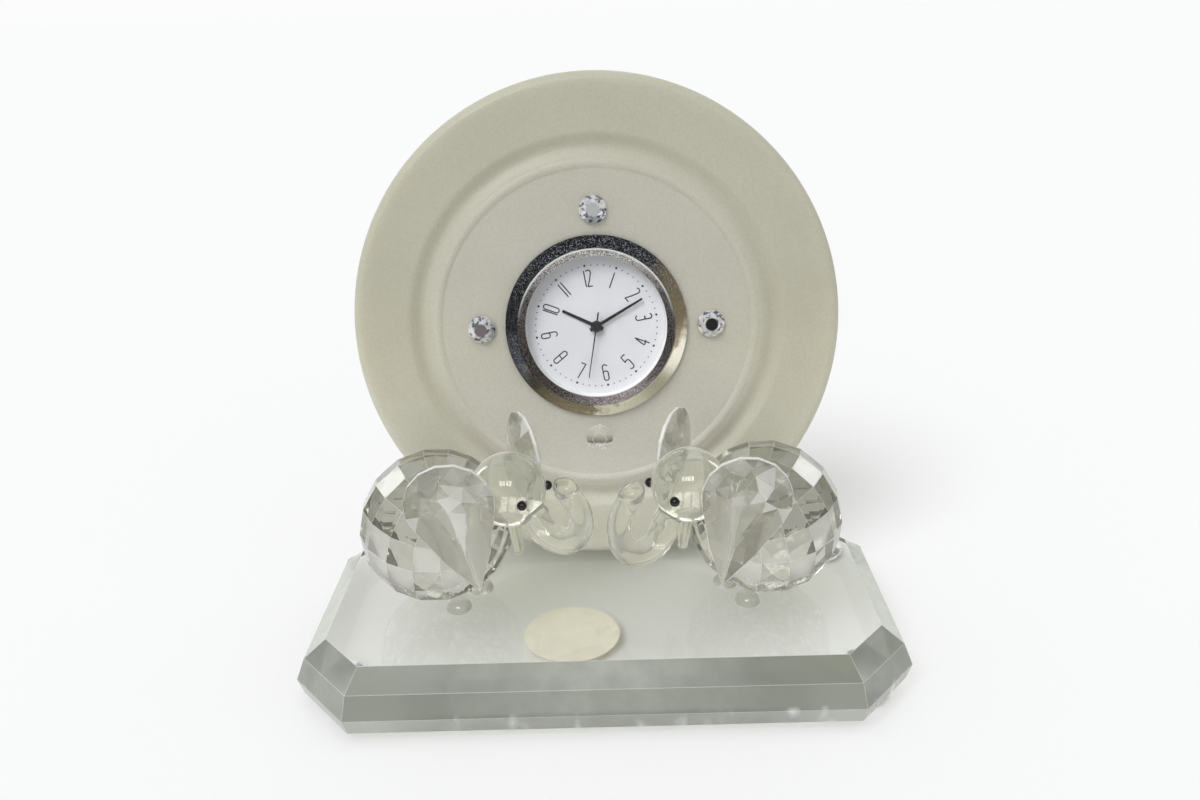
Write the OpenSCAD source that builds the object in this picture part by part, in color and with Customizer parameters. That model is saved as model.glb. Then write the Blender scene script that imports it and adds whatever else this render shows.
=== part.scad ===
// Crystal desk clock: a bevelled glass base on clear bumpers, a leaning frosted glass disc
// with crystal markers and a push-fit quartz insert, and two cut glass elephants.
// X runs to the right, Y away from the viewer and Z up. The origin is on the table, under
// the middle of the whole clock.

/* [Base] */
// Width of the base's top face
base_w = 105.5; // [96:0.5:120]
// Depth of the base's top face
base_d = 45.5; // [42:0.5:56]
// Thickness of the base
base_h = 11; // [9:0.5:14]
// Length cut from each side at the top face's corners
corner_cut = 8; // [5:0.5:12]
// How far the polished top bevel reaches out
bevel_out = 4.1; // [2:0.1:6]
// How far the polished top bevel drops
bevel_drop = 3.1; // [2:0.1:4]
// How far the steeper side flares out below the bevel
side_out = 1.8; // [0.5:0.1:3]
// Height of the steeper side
side_drop = 4.4; // [2:0.1:5]
// How far the underside draws back in
tuck_in = 0.8; // [0.3:0.1:2]
// Diameter of a bumper under the base
bumper_d = 8.5; // [6:0.5:10]
// Height of a bumper
bumper_h = 2; // [1.5:0.1:3]
// Width of the oval paper label under the base
label_w = 19; // [12:0.5:24]
// Depth of the oval paper label
label_d = 16.5; // [10:0.5:20]
// Distance of the label to the left of the middle
label_left = 6.3; // [0:0.1:15]
// Distance of the label in front of the middle
label_front = 8.3; // [0:0.1:12]

/* [Disc] */
// Diameter of the frosted disc
disc_d = 100; // [94:1:110]
// Thickness of the disc
disc_t = 10; // [9.5:0.5:11]
// How far the disc leans back, in degrees
disc_lean = 12; // [6:1:15]
// Distance of the disc's front foot behind the middle of the base
disc_back = 11.8; // [10.5:0.1:12]
// Depth of the flat that is ground on the disc's foot
disc_flat = 0.8; // [0.5:0.1:3]
// Radius of the disc's rounded rims
disc_round = 2.4; // [1:0.1:3.5]
// Radius of the flat middle field
field_r = 31.4; // [29:0.1:33]
// Depth of the cove round the middle field
cove_depth = 0.9; // [0.3:0.1:1.5]
// Distance of the crystal markers' middles outside the bezel
marker_out = 4.9; // [3.7:0.1:7]
// Diameter of a crystal marker
marker_d = 5.6; // [4:0.1:6.4]

/* [Insert] */
// Diameter of the bore in the disc
bore_d = 34.5; // [34:0.1:35.2]
// How far the chrome bezel reaches past the bore
bezel_lip = 1.25; // [1:0.05:2]
// Height of the bezel above the disc
bezel_h = 2.6; // [2.3:0.1:3.2]
// Width of the rim between the bore and the dial that shows
rim_w = 3.15; // [3.05:0.05:3.8]
// Depth of the insert behind the disc's face
can_depth = 8.2; // [7.6:0.1:9.2]
// Turn of the fitted insert, in degrees anticlockwise
insert_turn = 9.5; // [0:0.5:20]
// Hour shown, with its fraction
hour_shown = 10.18; // [0:0.01:12]
// Minute shown
minute_shown = 11.6; // [0:0.1:60]
// Second shown
second_shown = 33.2; // [0:0.1:60]
// Length of the hour hand
hour_hand_l = 7.6; // [6:0.1:9]
// Length of the minute hand
minute_hand_l = 10.9; // [9:0.1:12]
// Length of the second hand
second_hand_l = 10.7; // [9:0.1:12.5]
// Diameter of the button cell
cell_d = 6.8; // [5.8:0.1:6.9]
// Travel of the crown when it is pulled to set the time
crown_pull = 0.8; // [0.4:0.05:0.8]

/* [Elephants] */
// Diameter of an elephant's faceted body
body_d = 30; // [26:0.5:31]
// Facets round the body
body_facets = 12; // [8:2:16]
// Distance of each body from the clock's middle
body_side = 32.2; // [31:0.1:36]
// Distance of the bodies behind the middle of the base
body_back = 0.2; // [-2:0.1:0.5]
// Gap between the body and the base, taken up by its feet
body_lift = 0.5; // [0.3:0.1:1]
// Turn of each elephant towards the viewer, in degrees
heading = 30; // [20:1:40]
// Diameter of the clear ball head
head_d = 13.8; // [12:0.1:14.2]
// Distance between the body's and the head's centres
neck_reach = 22.2; // [22:0.1:24]
// Rise of the line from body to head, in degrees
neck_rise = 35; // [30:1:40]
// Width of an ear
ear_w = 16; // [13:0.5:18]
// Length of an ear from its top to its tip
ear_l = 26.6; // [22:0.2:28]
// Thickness of an ear at its middle
ear_t = 5; // [3.5:0.1:6]
// Angle that an ear flares from the head, in degrees
ear_flare = 34; // [28:1:42]
// Diameter of an eye
eye_d = 1.8; // [1.2:0.1:2.4]
// Diameter of the trunk near its tip
trunk_d = 4.1; // [3.4:0.1:4.4]

/* [Hidden] */
$fn = 96;
tiny = 0.01;                          // reach of one shape into the next that it is part of
past = 1;                             // reach of a cut beyond what it cuts
glue = 0.05;                          // film of clear glue between glued pieces
slip = 0.05;                          // radial clearance of what turns, slides or is pushed in
layer_gap = 0.05;                     // space between stacked pieces

// Whole clock
disc_r = disc_d / 2;
disc_up = disc_r - disc_flat;         // disc centre, measured up the disc's face
rim_back_y = disc_back + (disc_up * sin(disc_lean)) + (disc_t - disc_round) * cos(disc_lean)
    + (disc_r - disc_round) * sin(disc_lean) + disc_round;
base_out = bevel_out + side_out;      // base's widest reach past its top face
base_front_y = -base_d / 2 - base_out;
centre_y = -(rim_back_y + base_front_y) / 2;
base_top = bumper_h + base_h;

// Insert, with heights along the disc's normal from the disc's face
bore_r = bore_d / 2;
bezel_r = bore_r + bezel_lip;
dial_r = bore_r - rim_w;
marker_ring_r = bezel_r + marker_out;
bezel_seat = 0.1;
grip_room = 0.55;                     // space between can and bore, for the grip ring
can_r = bore_r - grip_room;
can_wall = 0.35;
skirt_r = can_r - can_wall - slip;
skirt_z = -0.45;                      // foot of the bezel's skirt
lens_r = dial_r + 0.75;
lens_t = 0.65;
lens_z = 1;
dial_t = 0.4;
dial_z = -1;                          // back of the dial
second_hand_z = 0.4;
minute_hand_z = -0.05;
hour_hand_z = -0.45;
hand_t = 0.12;
cover_t = 0.5;

// Movement, behind the dial
plate_r = 9.8;
plate_z = -3.3;                       // back of the main plate
plate_t = 1.6;
wheel_t = 0.15;
motion_wheel_z = -1.6;                // minute wheel and cannon pinion
hour_wheel_z = -1.35;
centre_wheel_z = -3.65;
third_wheel_z = -3.95;
fourth_wheel_z = -4.3;
inter_wheel_z = -4.6;
bridge_z = -5.2;
bridge_t = 0.4;
cell_z = -5;
cell_t = 1.65;
stem_z = -2.5;
stem_r = 0.4;
crown_r = 1.4;
crown_l = 2.6;
crown_sunk = 0.4;                     // crown's outer end inside the can's wall
crown_end = can_r - crown_sunk;
crown_from = crown_end - crown_l;
crown_room = 0.35;                    // space round the crown
crown_way = crown_r + crown_room;
crown_behind = 0.6;                   // space behind the crown
cell_edge = 1.1;                      // cell's distance from the plate's edge
cell_at = [plate_r - cell_d / 2 - cell_edge, -3.5];

// Teeth of the train, wheel and pinion of each pair, with their pair's module
seconds_teeth = 40;
inter_pinion_teeth = 8;
inter_teeth = 48;
rotor_pinion_teeth = 8;
seconds_pinion_teeth = 8;
third_teeth = 60;
third_pinion_teeth = 8;
centre_teeth = 64;
cannon_teeth = 12;
minute_teeth = 36;
minute_pinion_teeth = 10;
hour_teeth = 40;
third_reach = 2.88;                   // axis distances
inter_reach = 2.4;
rotor_reach = 2.38;
minute_reach = 2.4;
third_dir = 150;                      // directions of the axes round the hands' axis
inter_dir = 80;
rotor_dir = 60;
minute_dir = 225;
arbor_r = 0.15;
cannon_r = 0.45;
hour_tube_r = 0.75;
cannon_bore_r = arbor_r + slip;
hour_bore_r = cannon_r + slip;
third_at = third_reach * [cos(third_dir), sin(third_dir)];
inter_at = inter_reach * [cos(inter_dir), sin(inter_dir)];
rotor_at = inter_at + rotor_reach * [cos(rotor_dir), sin(rotor_dir)];
minute_at = minute_reach * [cos(minute_dir), sin(minute_dir)];
magnet_r = 1.35;
magnet_z = -4;
magnet_h = 0.6;
stator_t = 0.4;
stator_w = 1;
stator_r = 2;
coil_l = 7.5;
coil_rim = 0.3;
coil_r = 1.1;
coil_at = [-0.6, 7.2];

// Elephants
body_r = body_d / 2;
head_r = head_d / 2;
head_at = neck_reach * [cos(neck_rise), 0, sin(neck_rise)];
ear_r = ear_w / 2;
ear_back = 4.4;                       // ear centre behind the head's centre
ear_up = 1.4;                         // ear centre above the head's centre
ear_out = 4.52;                       // ear centre outside the head's surface
ear_tilt = 12;
trunk_fwd = 9.7;                      // centre of the trunk's curl, from the head's centre
trunk_down = 4.3;
trunk_reach = 5;
trunk_drop = 6.2;
trunk_root_r = 2.5;
trunk_flare = 0.55;                   // nozzle's widening
trunk_seat = 0.15;                    // gap between the trunk's root and the head
trunk_rings = 22;
trunk_sides = 12;
neck_r = 3;
jaw_l = 13.3;
jaw_fwd = 0.1;
jaw_lean = 5;
jaw_root_r = 1.9;
jaw_tip_r = 0.9;

// Frames
module on_base() { translate([0, centre_y, bumper_h]) children(); }
module on_disc() { translate([0, centre_y + disc_back, base_top]) rotate([90 - disc_lean, 0, 0]) translate([0, disc_up, 0]) children(); }
module on_insert() { on_disc() rotate([0, 0, insert_turn]) children(); }
module on_left() { translate([-body_side, centre_y + body_back, base_top + body_lift + body_r]) rotate([0, 0, -heading]) children(); }
module on_right() { mirror([1, 0, 0]) on_left() children(); }
module at_head() { translate(head_at) children(); }

// Ring of eight corners of an oblong with cut corners, grown outwards by grow
function oblong(grow) = let (w = base_w / 2 + grow, d = base_d / 2 + grow, c = corner_cut + grow * (2 - sqrt(2)))
    [[w, -d + c], [w, d - c], [w - c, d], [-w + c, d], [-w, d - c], [-w, -d + c], [-w + c, -d], [w - c, -d]];

// Solid through a list of rings of points, each ring anticlockwise seen from the last ring's side
module skin(rings) {
    n = len(rings[0]);
    last = len(rings) - 1;
    polyhedron(
        points = [for (ring = rings) for (p = ring) p],
        faces = concat(
            [[for (k = [0:n - 1]) k]],
            [for (i = [0:last - 1]) for (k = [0:n - 1]) let (a = i * n + k, b = i * n + (k + 1) % n) [a, a + n, b + n, b]],
            [[for (k = [n - 1:-1:0]) last * n + k]]));
}
function lifted(points, z) = [for (p = points) [p[0], p[1], z]];

// Base: one polished block with a wide top bevel, steep sides and a small lower bevel
module base_block() {
    color("#DDE3DE") on_base() skin([
        lifted(oblong(base_out - tuck_in), 0),
        lifted(oblong(base_out), base_h - bevel_drop - side_drop),
        lifted(oblong(bevel_out), base_h - bevel_drop),
        lifted(oblong(0), base_h)]);
}

// Bumpers: domed rounds with a flat foot
bumper_r = bumper_d / 2;
bumper_in = bumper_r + 3;             // bumper's centre from the underside's edges
foot_r = 0.64 * bumper_r;
shoulder_h = 0.9 * bumper_h;
module base_bumpers() {
    x = base_w / 2 + base_out - tuck_in - bumper_in;
    y = base_d / 2 + base_out - tuck_in - bumper_in;
    color("#F2F4F2") for (side = [-1, 1]) for (end = [-1, 1])
        translate([side * x, centre_y + end * y, 0]) rotate_extrude()
            polygon([[0, 0], for (a = [-90:15:0]) [foot_r + (bumper_r - foot_r) * cos(a), shoulder_h * (1 + sin(a))],
                [bumper_r, bumper_h - glue], [0, bumper_h - glue]]);
}

label_t = 0.12;
module base_label() {
    color("#EFEBD3") on_base() translate([-label_left, -label_front, -glue - label_t]) linear_extrude(label_t)
        polygon([for (a = [0:10:350]) [label_w / 2 * cos(a), label_d / 2 * sin(a)]]);
}

// Disc: flat field, raised bead, narrow cove, gently falling rim and round edges
bead_w = 2;
bead_h = 0.3;
cove_half = 2.7;
cove_r = field_r + bead_w + cove_half - 0.1;
rim_fall = 0.6;
function disc_front(r) = r < field_r ? 0
    : r < field_r + bead_w ? bead_h * sin(180 * (r - field_r) / bead_w)
    : (abs(r - cove_r) < cove_half ? -cove_depth * (0.5 + 0.5 * cos(180 * (r - cove_r) / cove_half)) : 0)
      - rim_fall * pow((r - field_r - bead_w) / (disc_r - field_r), 2);
module frosted_disc() {
    edge_r = disc_r - disc_round;
    edge_z = disc_front(edge_r);
    color("#C9C9B9") difference() {
        on_disc() rotate_extrude($fn = 180) polygon(concat(
            [[bore_r, -disc_t], [bore_r, 0], [field_r, 0]],
            [for (k = [1:3]) let (r = field_r + k * bead_w / 4) [r, disc_front(r)]],
            [for (k = [0:12]) let (r = cove_r - cove_half + k * cove_half / 6) [r, disc_front(r)]],
            [for (k = [1:4]) let (r = cove_r + cove_half + k * (edge_r - cove_r - cove_half) / 4) [r, disc_front(r)]],
            [for (a = [75:-15:0]) [edge_r + disc_round * cos(a), edge_z - disc_round + disc_round * sin(a)]],
            [for (a = [0:-15:-90]) [edge_r + disc_round * cos(a), disc_round - disc_t + disc_round * sin(a)]]));
        translate([-disc_d, -disc_d, base_top + glue - 2 * disc_d]) cube(2 * disc_d);
    }
}

// Crystal markers: flat-backed stones with a small table and a faceted crown
marker_girdle = 0.5;
marker_h = 1.8;
marker_table = 0.52;                  // table's width as a share of the stone's
module marker(direction) {
    translate([marker_ring_r * cos(direction), marker_ring_r * sin(direction), glue]) hull() {
        cylinder(h = marker_girdle, d = marker_d, $fn = 16);
        cylinder(h = marker_h, d = marker_d * marker_table, $fn = 8);
    }
}
module foiled_markers() { color("#E8ECF2") on_disc() for (direction = [0, 90, 180]) marker(direction); }
module clear_marker() { color("#EEF1EE") on_disc() marker(270); }

// Elephant's body: a ball cut with flat kites. Each ring of corners is turned half a facet
// from the last, and its radius is where the plane through the last two rings meets the ball.
half_facet = 180 / body_facets;
body_rings = floor(body_facets / 2);
function next_ring(a, b) = let (d = [b[0] * cos(half_facet), b[1]] - a) a - 2 * (a * d) / (d * d) * d;
function ring_at(i) = i == 0 ? [body_r, 0]
    : i == 1 ? body_r * [cos(half_facet), sin(half_facet)]
    : next_ring(ring_at(i - 2), ring_at(i - 1));
table_z = ring_at(body_rings)[1];
module faceted_ball() {
    n = body_facets;
    m = body_rings;
    corners = [for (i = [0:m]) ring_at(i)];
    function odd(i) = abs(i) % 2;
    function at(i, k) = (i + m) * n + (k + n) % n;
    polyhedron(
        points = [for (i = [-m:m]) for (k = [0:n - 1]) let (c = corners[abs(i)], a = half_facet * (2 * k + odd(i)))
            [c[0] * cos(a), c[0] * sin(a), (i < 0 ? -1 : 1) * c[1]]],
        faces = concat(
            [[for (k = [0:n - 1]) at(-m, k)], [for (k = [n - 1:-1:0]) at(m, k)]],
            [for (i = [-m + 1:m - 1]) for (k = [0:n - 1]) [at(i, k), at(i + 1, k + odd(i)), at(i, k + 1), at(i - 1, k + odd(i))]],
            [for (k = [0:n - 1]) [at(m, k), at(m, k + 1), at(m - 1, k + odd(m))]],
            [for (k = [0:n - 1]) [at(-m, k), at(1 - m, k + odd(m)), at(-m, k + 1)]]));
}
module body() { color("#E3E8E4") rotate([0, 90 - neck_rise, 0]) faceted_ball(); }

// Head: a clear ball with its neck and a small pointed lower jaw
module head() {
    color("#E9EDEA") at_head() {
        sphere(r = head_r);
        rotate([0, 90 - neck_rise, 0]) translate([0, 0, table_z + glue - neck_reach]) cylinder(h = neck_reach - table_z, r = neck_r);
        rotate([0, -jaw_lean, 0]) translate([jaw_fwd, 0, -jaw_l]) {
            cylinder(h = jaw_l, r1 = jaw_tip_r, r2 = jaw_root_r, $fn = 32);
            sphere(r = jaw_tip_r, $fn = 32);
        }
    }
}

// Trunk: a tapering tube round an ellipse, with a flared, hollow nozzle. The first rings turn
// from the head's surface to the path.
root_angle = -172;
mouth_angle = 66;
function trunk_point(t) = [trunk_fwd + trunk_reach * cos(t), 0, -trunk_down + trunk_drop * sin(t)];
function trunk_heading(t) = atan2(trunk_drop * cos(t), -trunk_reach * sin(t));
function trunk_width(s) = trunk_root_r + (trunk_d / 2 - trunk_root_r) * min(1, s / 0.7) + trunk_flare * pow(max(0, s - 0.8) / 0.2, 2);
function trunk_ring(t, r, turn) = let (a = trunk_heading(t) + turn)
    [for (k = [0:trunk_sides - 1]) let (b = 360 * k / trunk_sides) trunk_point(t) + r * [-sin(a) * sin(b), cos(b), cos(a) * sin(b)]];
module trunk() {
    root = trunk_point(root_angle);
    root_turn = atan2(root[2], root[0]) - trunk_heading(root_angle);
    seat = (head_r + trunk_seat) / norm(root);
    step = (mouth_angle - root_angle) / (trunk_rings - 1);
    lip_r = 0.78 * trunk_width(1);
    throat_r = 0.45 * trunk_width(1);
    throat_turn = 16;
    color("#E9EDEA") at_head() skin(concat(
        [[for (p = trunk_ring(root_angle, trunk_root_r, root_turn)) p + root * (seat - 1)]],
        [for (i = [1:trunk_rings - 1]) trunk_ring(root_angle + i * step, trunk_width(i / (trunk_rings - 1)), root_turn * max(0, 1 - i / 3))],
        [trunk_ring(mouth_angle, lip_r, 0), trunk_ring(mouth_angle - throat_turn, throat_r, 0)]));
}

// Ear: a pear-shaped drop, pointed below. Both faces are cut as a star: eight ridges run from
// the raised centre to the corners of a shoulder, crossed by a smaller star halfway, and the
// longest goes on towards the point.
ear_rim_t = 0.8;
ear_bulge = 0.55;
ear_star_t = 0.88 * ear_t;
ear_star_r = 0.38 * ear_r;
ear_shoulder_t = 0.64 * ear_t;
ear_shoulder_r = 0.66 * ear_r;
ear_shoulder_low = 1.9;               // lowest corner's distance, in shoulder radii
ear_point_r = 0.3;
module ear_outline() {
    drop = ear_l - ear_r;
    side = acos(ear_r / drop);
    out = [sin(side), -cos(side)];
    flank = (ear_r * out + [0, -drop]) / 2 + ear_bulge * out;
    polygon(concat(
        [for (k = [0:10]) let (a = side - 90 + k * (360 - 2 * side) / 10) ear_r * [cos(a), sin(a)]],
        [[-flank[0], flank[1]], [0, -drop], flank]));
}
module ear() {
    rotate([0, 0, ear_flare]) rotate([90, 0, 0]) rotate([0, 0, ear_tilt]) hull() {
        linear_extrude(ear_rim_t, center = true) ear_outline();
        linear_extrude(ear_shoulder_t, center = true)
            polygon([for (a = [0:45:315]) ear_shoulder_r * (a == 270 ? ear_shoulder_low : 1) * [cos(a), sin(a)]]);
        rotate(22.5) linear_extrude(ear_star_t, center = true) circle(r = ear_star_r, $fn = 8);
        linear_extrude(ear_t, center = true) circle(r = ear_point_r, $fn = 8);
    }
}
module near_ear() { color("#DFE5E0") at_head() translate([-ear_back, -head_r - ear_out, ear_up]) ear(); }
module far_ear() { mirror([0, 1, 0]) near_ear(); }

eye_spread = 35;
eye_rise = 2;
eye_out = 0.2;
module eyes() {
    color("#101010") at_head() difference() {
        for (side = [-1, 1]) rotate([0, -eye_rise, side * eye_spread]) translate([head_r + eye_out, 0, 0]) sphere(d = eye_d, $fn = 32);
        sphere(r = head_r + glue);
    }
}

paw_fwd = 6.3;
paw_side = 3.6;
paw_r = 2.5;
paw_cut = 0.35;                       // height ground off the paw's underside
module feet() {
    color("#E9EDEA") for (side = [-1, 1]) translate([paw_fwd, side * paw_side, glue - body_r - body_lift]) rotate_extrude($fn = 48)
        polygon(concat([[0, 0]], [for (a = [asin(paw_cut / paw_r):9:89]) paw_r * [cos(a), sin(a)] - [0, paw_cut]], [[0, paw_r - paw_cut]]));
}

module left_body() { on_left() body(); }
module left_head() { on_left() head(); }
module left_trunk() { on_left() trunk(); }
module left_near_ear() { on_left() near_ear(); }
module left_far_ear() { on_left() far_ear(); }
module left_eyes() { on_left() eyes(); }
module left_feet() { on_left() feet(); }
module right_body() { on_right() body(); }
module right_head() { on_right() head(); }
module right_trunk() { on_right() trunk(); }
module right_near_ear() { on_right() near_ear(); }
module right_far_ear() { on_right() far_ear(); }
module right_eyes() { on_right() eyes(); }
module right_feet() { on_right() feet(); }

// Ring or disc between two radii, standing on height z
module ring(outer, inner, z, h) {
    translate([0, 0, z]) difference() {
        cylinder(h = h, r = outer);
        translate([0, 0, -past]) cylinder(h = h + 2 * past, r = inner);
    }
}

// Bezel: an outer slope, a crest, an inner slope down to the lens, and a skirt inside the can
lip_t = 0.12;
crest_half = 0.15;                    // half the crest's width
edge_w = 0.4;                         // bevel at the bezel's edge
edge_low = 0.7;
edge_high = 1;
module bezel() {
    crest_r = dial_r + 0.6 * rim_w;
    lip_r = dial_r + 0.3;
    lip_z = lens_z + lens_t + slip;
    seat_r = lens_r + slip;
    color("#BDB9B2") on_insert() rotate_extrude($fn = 180) polygon([
        [seat_r, lip_z], [lip_r, lip_z], [lip_r, lip_z + lip_t], [crest_r - crest_half, bezel_h], [crest_r + crest_half, bezel_h],
        [bezel_r - edge_w, edge_high], [bezel_r, edge_low], [bezel_r, bezel_seat], [skirt_r, bezel_seat], [skirt_r, skirt_z], [seat_r, skirt_z]]);
}
module lens() { color("#F4F7F8") on_insert() translate([0, 0, lens_z]) cylinder(r = lens_r, h = lens_t); }
module dial_surround() {
    low = dial_z + dial_t + layer_gap;
    high = lens_z - layer_gap;
    draft = 0.25;
    color("#F2F2F0") on_insert() rotate_extrude() polygon([[lens_r, low], [lens_r, high], [dial_r + draft, high], [dial_r, low]]);
}
dial_hole_r = hour_tube_r + 4 * slip;
module dial() { color("#F7F7F5") on_insert() ring(lens_r, dial_hole_r, dial_z, dial_t); }

// Case: a thin can with an opening for the crown, and a cover that snaps into its back
cover_z = -can_depth;
cover_snap = 0.8;                     // height of the cover's snap rim
cover_rim = 0.6;                      // its width
module crown_opening(from, to) { translate([from, 0, stem_z]) rotate([0, 90, 0]) cylinder(r = crown_way, h = to - from); }
module case_can() {
    color("#C9A95A") on_insert() difference() {
        ring(can_r, can_r - can_wall, cover_z + cover_t + layer_gap, can_depth - cover_t - layer_gap + bezel_seat - layer_gap);
        crown_opening(can_r - can_wall - past, can_r + past);
    }
}
module back_cover() {
    color("#BFC1C2") on_insert() {
        translate([0, 0, cover_z]) cylinder(r = can_r, h = cover_t);
        ring(skirt_r, skirt_r - cover_rim, cover_z, cover_t + cover_snap);
    }
}
// Grip ring: ribbed rubber that holds the insert in the bore, split where the crown is
grip_top = -1.4;
grip_ribs = 4;
grip_pitch = 1.2;
module grip_ring() {
    inner = can_r + slip;
    outer = bore_r - slip;
    band = (inner + outer) / 2;
    color("#2A2A2A") on_insert() difference() {
        rotate_extrude() polygon(concat([[inner, grip_top - grip_ribs * grip_pitch], [inner, grip_top]],
            [for (k = [0:grip_ribs - 1]) for (p = [[band, 0], [outer, 0.3], [outer, 0.6], [band, 0.9]]) [p[0], grip_top - (k + p[1]) * grip_pitch]]));
        translate([0, -crown_way, -can_depth]) cube([bore_r, 2 * crown_way, can_depth]);
    }
}

// Movement ring: centres the movement in the can and carries the dial
ring_z = -6;
module movement_ring() {
    top = dial_z - layer_gap;
    pocket = crown_from - crown_behind;
    color("#E9E7DF") on_insert() difference() {
        union() {
            ring(skirt_r, plate_r + slip, ring_z, top - ring_z);
            ring(skirt_r, lens_r + slip, top - tiny, skirt_z - layer_gap - top + tiny);
        }
        crown_opening(pocket, can_r + past);
        translate([plate_r - past, 0, stem_z]) rotate([0, 90, 0]) cylinder(r = stem_r + slip, h = pocket - plate_r + 2 * past, $fn = 32);
    }
}

// Main plate with its bearings, the minute wheel's post, the stem's way and the bridge pillars
screw_at = [[5.4, 2.6], [-6.2, 3.6]];
screw_r = 0.3;
screw_l = 1.6;
pillar_r = 0.8;
post_r = 0.2;
bearing_depth = 0.75;
lever_x = 4.05;
lever_t = 0.5;
lever_w = 2;
lever_h = 1.25;
lever_room = 0.1;                     // space beside, above and below the lever
module stem_way() { translate([lever_x, 0, stem_z]) rotate([0, 90, 0]) cylinder(r = stem_r + slip, h = plate_r, $fn = 32); }
module main_plate() {
    top = plate_z + plate_t;
    color("#3F4A4D") on_insert() {
        difference() {
            union() {
                translate([0, 0, plate_z]) cylinder(r = plate_r, h = plate_t);
                for (at = screw_at) translate([at[0], at[1], bridge_z + bridge_t + layer_gap]) cylinder(r = pillar_r, h = plate_z - bridge_z - bridge_t, $fn = 32);
            }
            translate([0, 0, plate_z - past]) cylinder(r = cannon_r + slip, h = plate_t + 2 * past, $fn = 48);
            for (at = [third_at, inter_at, rotor_at]) translate([at[0], at[1], plate_z - tiny]) cylinder(r = arbor_r + slip, h = bearing_depth, $fn = 32);
            for (at = screw_at) translate([at[0], at[1], bridge_z]) cylinder(r = screw_r + slip, h = screw_l, $fn = 32);
            translate([lever_x - stem_tail - lever_room, -lever_w / 2 - lever_room, plate_z - tiny])
                cube([stem_tail + lever_t + crown_pull + 3 * lever_room, lever_w + 2 * lever_room, lever_h + 2 * lever_room]);
            stem_way();
        }
        translate([minute_at[0], minute_at[1], top - tiny]) cylinder(r = post_r, h = 4 * wheel_t, $fn = 32);
    }
}
bar_w = 1.6;
boss_r = 1.2;
module train_bar(a, b) {
    along = b - a;
    translate(a) rotate(atan2(along[1], along[0])) translate([0, -bar_w / 2]) square([norm(along), bar_w]);
}
module train_bridge() {
    color("#B9A46A") on_insert() translate([0, 0, bridge_z]) linear_extrude(bridge_t) difference() {
        union() {
            for (at = concat([[0, 0], third_at, inter_at, rotor_at], screw_at)) translate(at) circle(r = boss_r, $fn = 48);
            train_bar([0, 0], third_at);
            train_bar([0, 0], inter_at);
            train_bar(inter_at, rotor_at);
            train_bar(third_at, screw_at[1]);
            train_bar(inter_at, screw_at[0]);
        }
        for (at = [[0, 0], third_at, inter_at, rotor_at]) translate(at) circle(r = arbor_r + slip, $fn = 32);
        for (at = screw_at) translate(at) circle(r = screw_r + slip, $fn = 32);
    }
}
module bridge_screws() {
    head_r = 0.7;
    head_t = 0.35;
    slot_w = 0.2;
    slot_t = 0.15;
    color("#C8CBD0") on_insert() for (at = screw_at) translate([at[0], at[1], bridge_z - layer_gap - head_t]) difference() {
        union() {
            cylinder(r = head_r, h = head_t, $fn = 32);
            cylinder(r = screw_r, h = screw_l, $fn = 32);
        }
        translate([-head_r, -slot_w / 2, -tiny]) cube([2 * head_r, slot_w, slot_t]);
    }
}

// Board: a sector of fibre beside the train, with one round chip under a blob of resin
board_t = 0.35;
board_in_r = 3.4;
board_out_r = plate_r - 0.4;
board_angles = [192, 239, 286];
chip_at = [-1.6, -5.6];
chip_r = 0.9;
chip_t = 0.4;
module circuit_board() {
    color("#2E6B4A") on_insert() translate([0, 0, plate_z - layer_gap - board_t]) {
        linear_extrude(board_t) intersection() {
            difference() {
                circle(r = board_out_r);
                circle(r = board_in_r);
            }
            polygon(2 * board_out_r * [[0, 0], for (a = board_angles) [cos(a), sin(a)]]);
        }
        translate([chip_at[0], chip_at[1], -chip_t]) cylinder(r = chip_r, h = chip_t + tiny, $fn = 32);
    }
}
crystal_at = [-5.6, -3.2];
crystal_r = 0.75;
crystal_l = 5;
crystal_turn = 52;
module quartz_crystal() {
    color("#D5D7DA") on_insert() translate([crystal_at[0], crystal_at[1], plate_z - board_t - 2 * layer_gap - crystal_r])
        rotate([0, 90, -crystal_turn]) cylinder(r = crystal_r, h = crystal_l, $fn = 32);
}
module coil() {
    winding_r = 0.9 * coil_r;
    color("#B5652E") on_insert() translate([coil_at[0], coil_at[1], plate_z - layer_gap - coil_r]) rotate([0, 90, 0]) {
        translate([0, 0, -coil_l / 2]) cylinder(r = winding_r, h = coil_l, $fn = 48);
        for (end = [-1, 1]) translate([0, 0, end * (coil_l - coil_rim) / 2]) cylinder(r = coil_r, h = coil_rim, center = true, $fn = 48);
    }
}
module stator() {
    near = coil_at[1] - coil_r - slip;
    color("#9A9DA0") on_insert() translate([0, 0, plate_z - layer_gap - stator_t]) linear_extrude(stator_t) difference() {
        union() {
            translate(rotor_at) circle(r = stator_r, $fn = 64);
            translate([coil_at[0] - coil_l / 2, near - stator_w]) square([coil_l, stator_w]);
        }
        translate(rotor_at) circle(r = magnet_r + 3 * slip, $fn = 64);
    }
}
module button_cell() { color("#C9CCCF") on_insert() translate([cell_at[0], cell_at[1], cell_z]) cylinder(d = cell_d, h = cell_t); }
clip_w = 1.6;
clip_t = 0.25;
clip_leg = 0.6;
clip_back = 1.9;                      // clip's edge behind the cell's middle
module cell_clip() {
    x = cell_at[0] - clip_back;
    y = cell_at[1] - cell_d / 2 - clip_leg - 4 * slip;
    color("#D8B45A") on_insert() {
        translate([x, y, cell_z - layer_gap - clip_t]) cube([clip_w, 0.8 * cell_d, clip_t]);
        translate([x, y, cell_z - layer_gap - tiny]) cube([clip_w, clip_leg, plate_z - cell_z]);
    }
}

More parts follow.
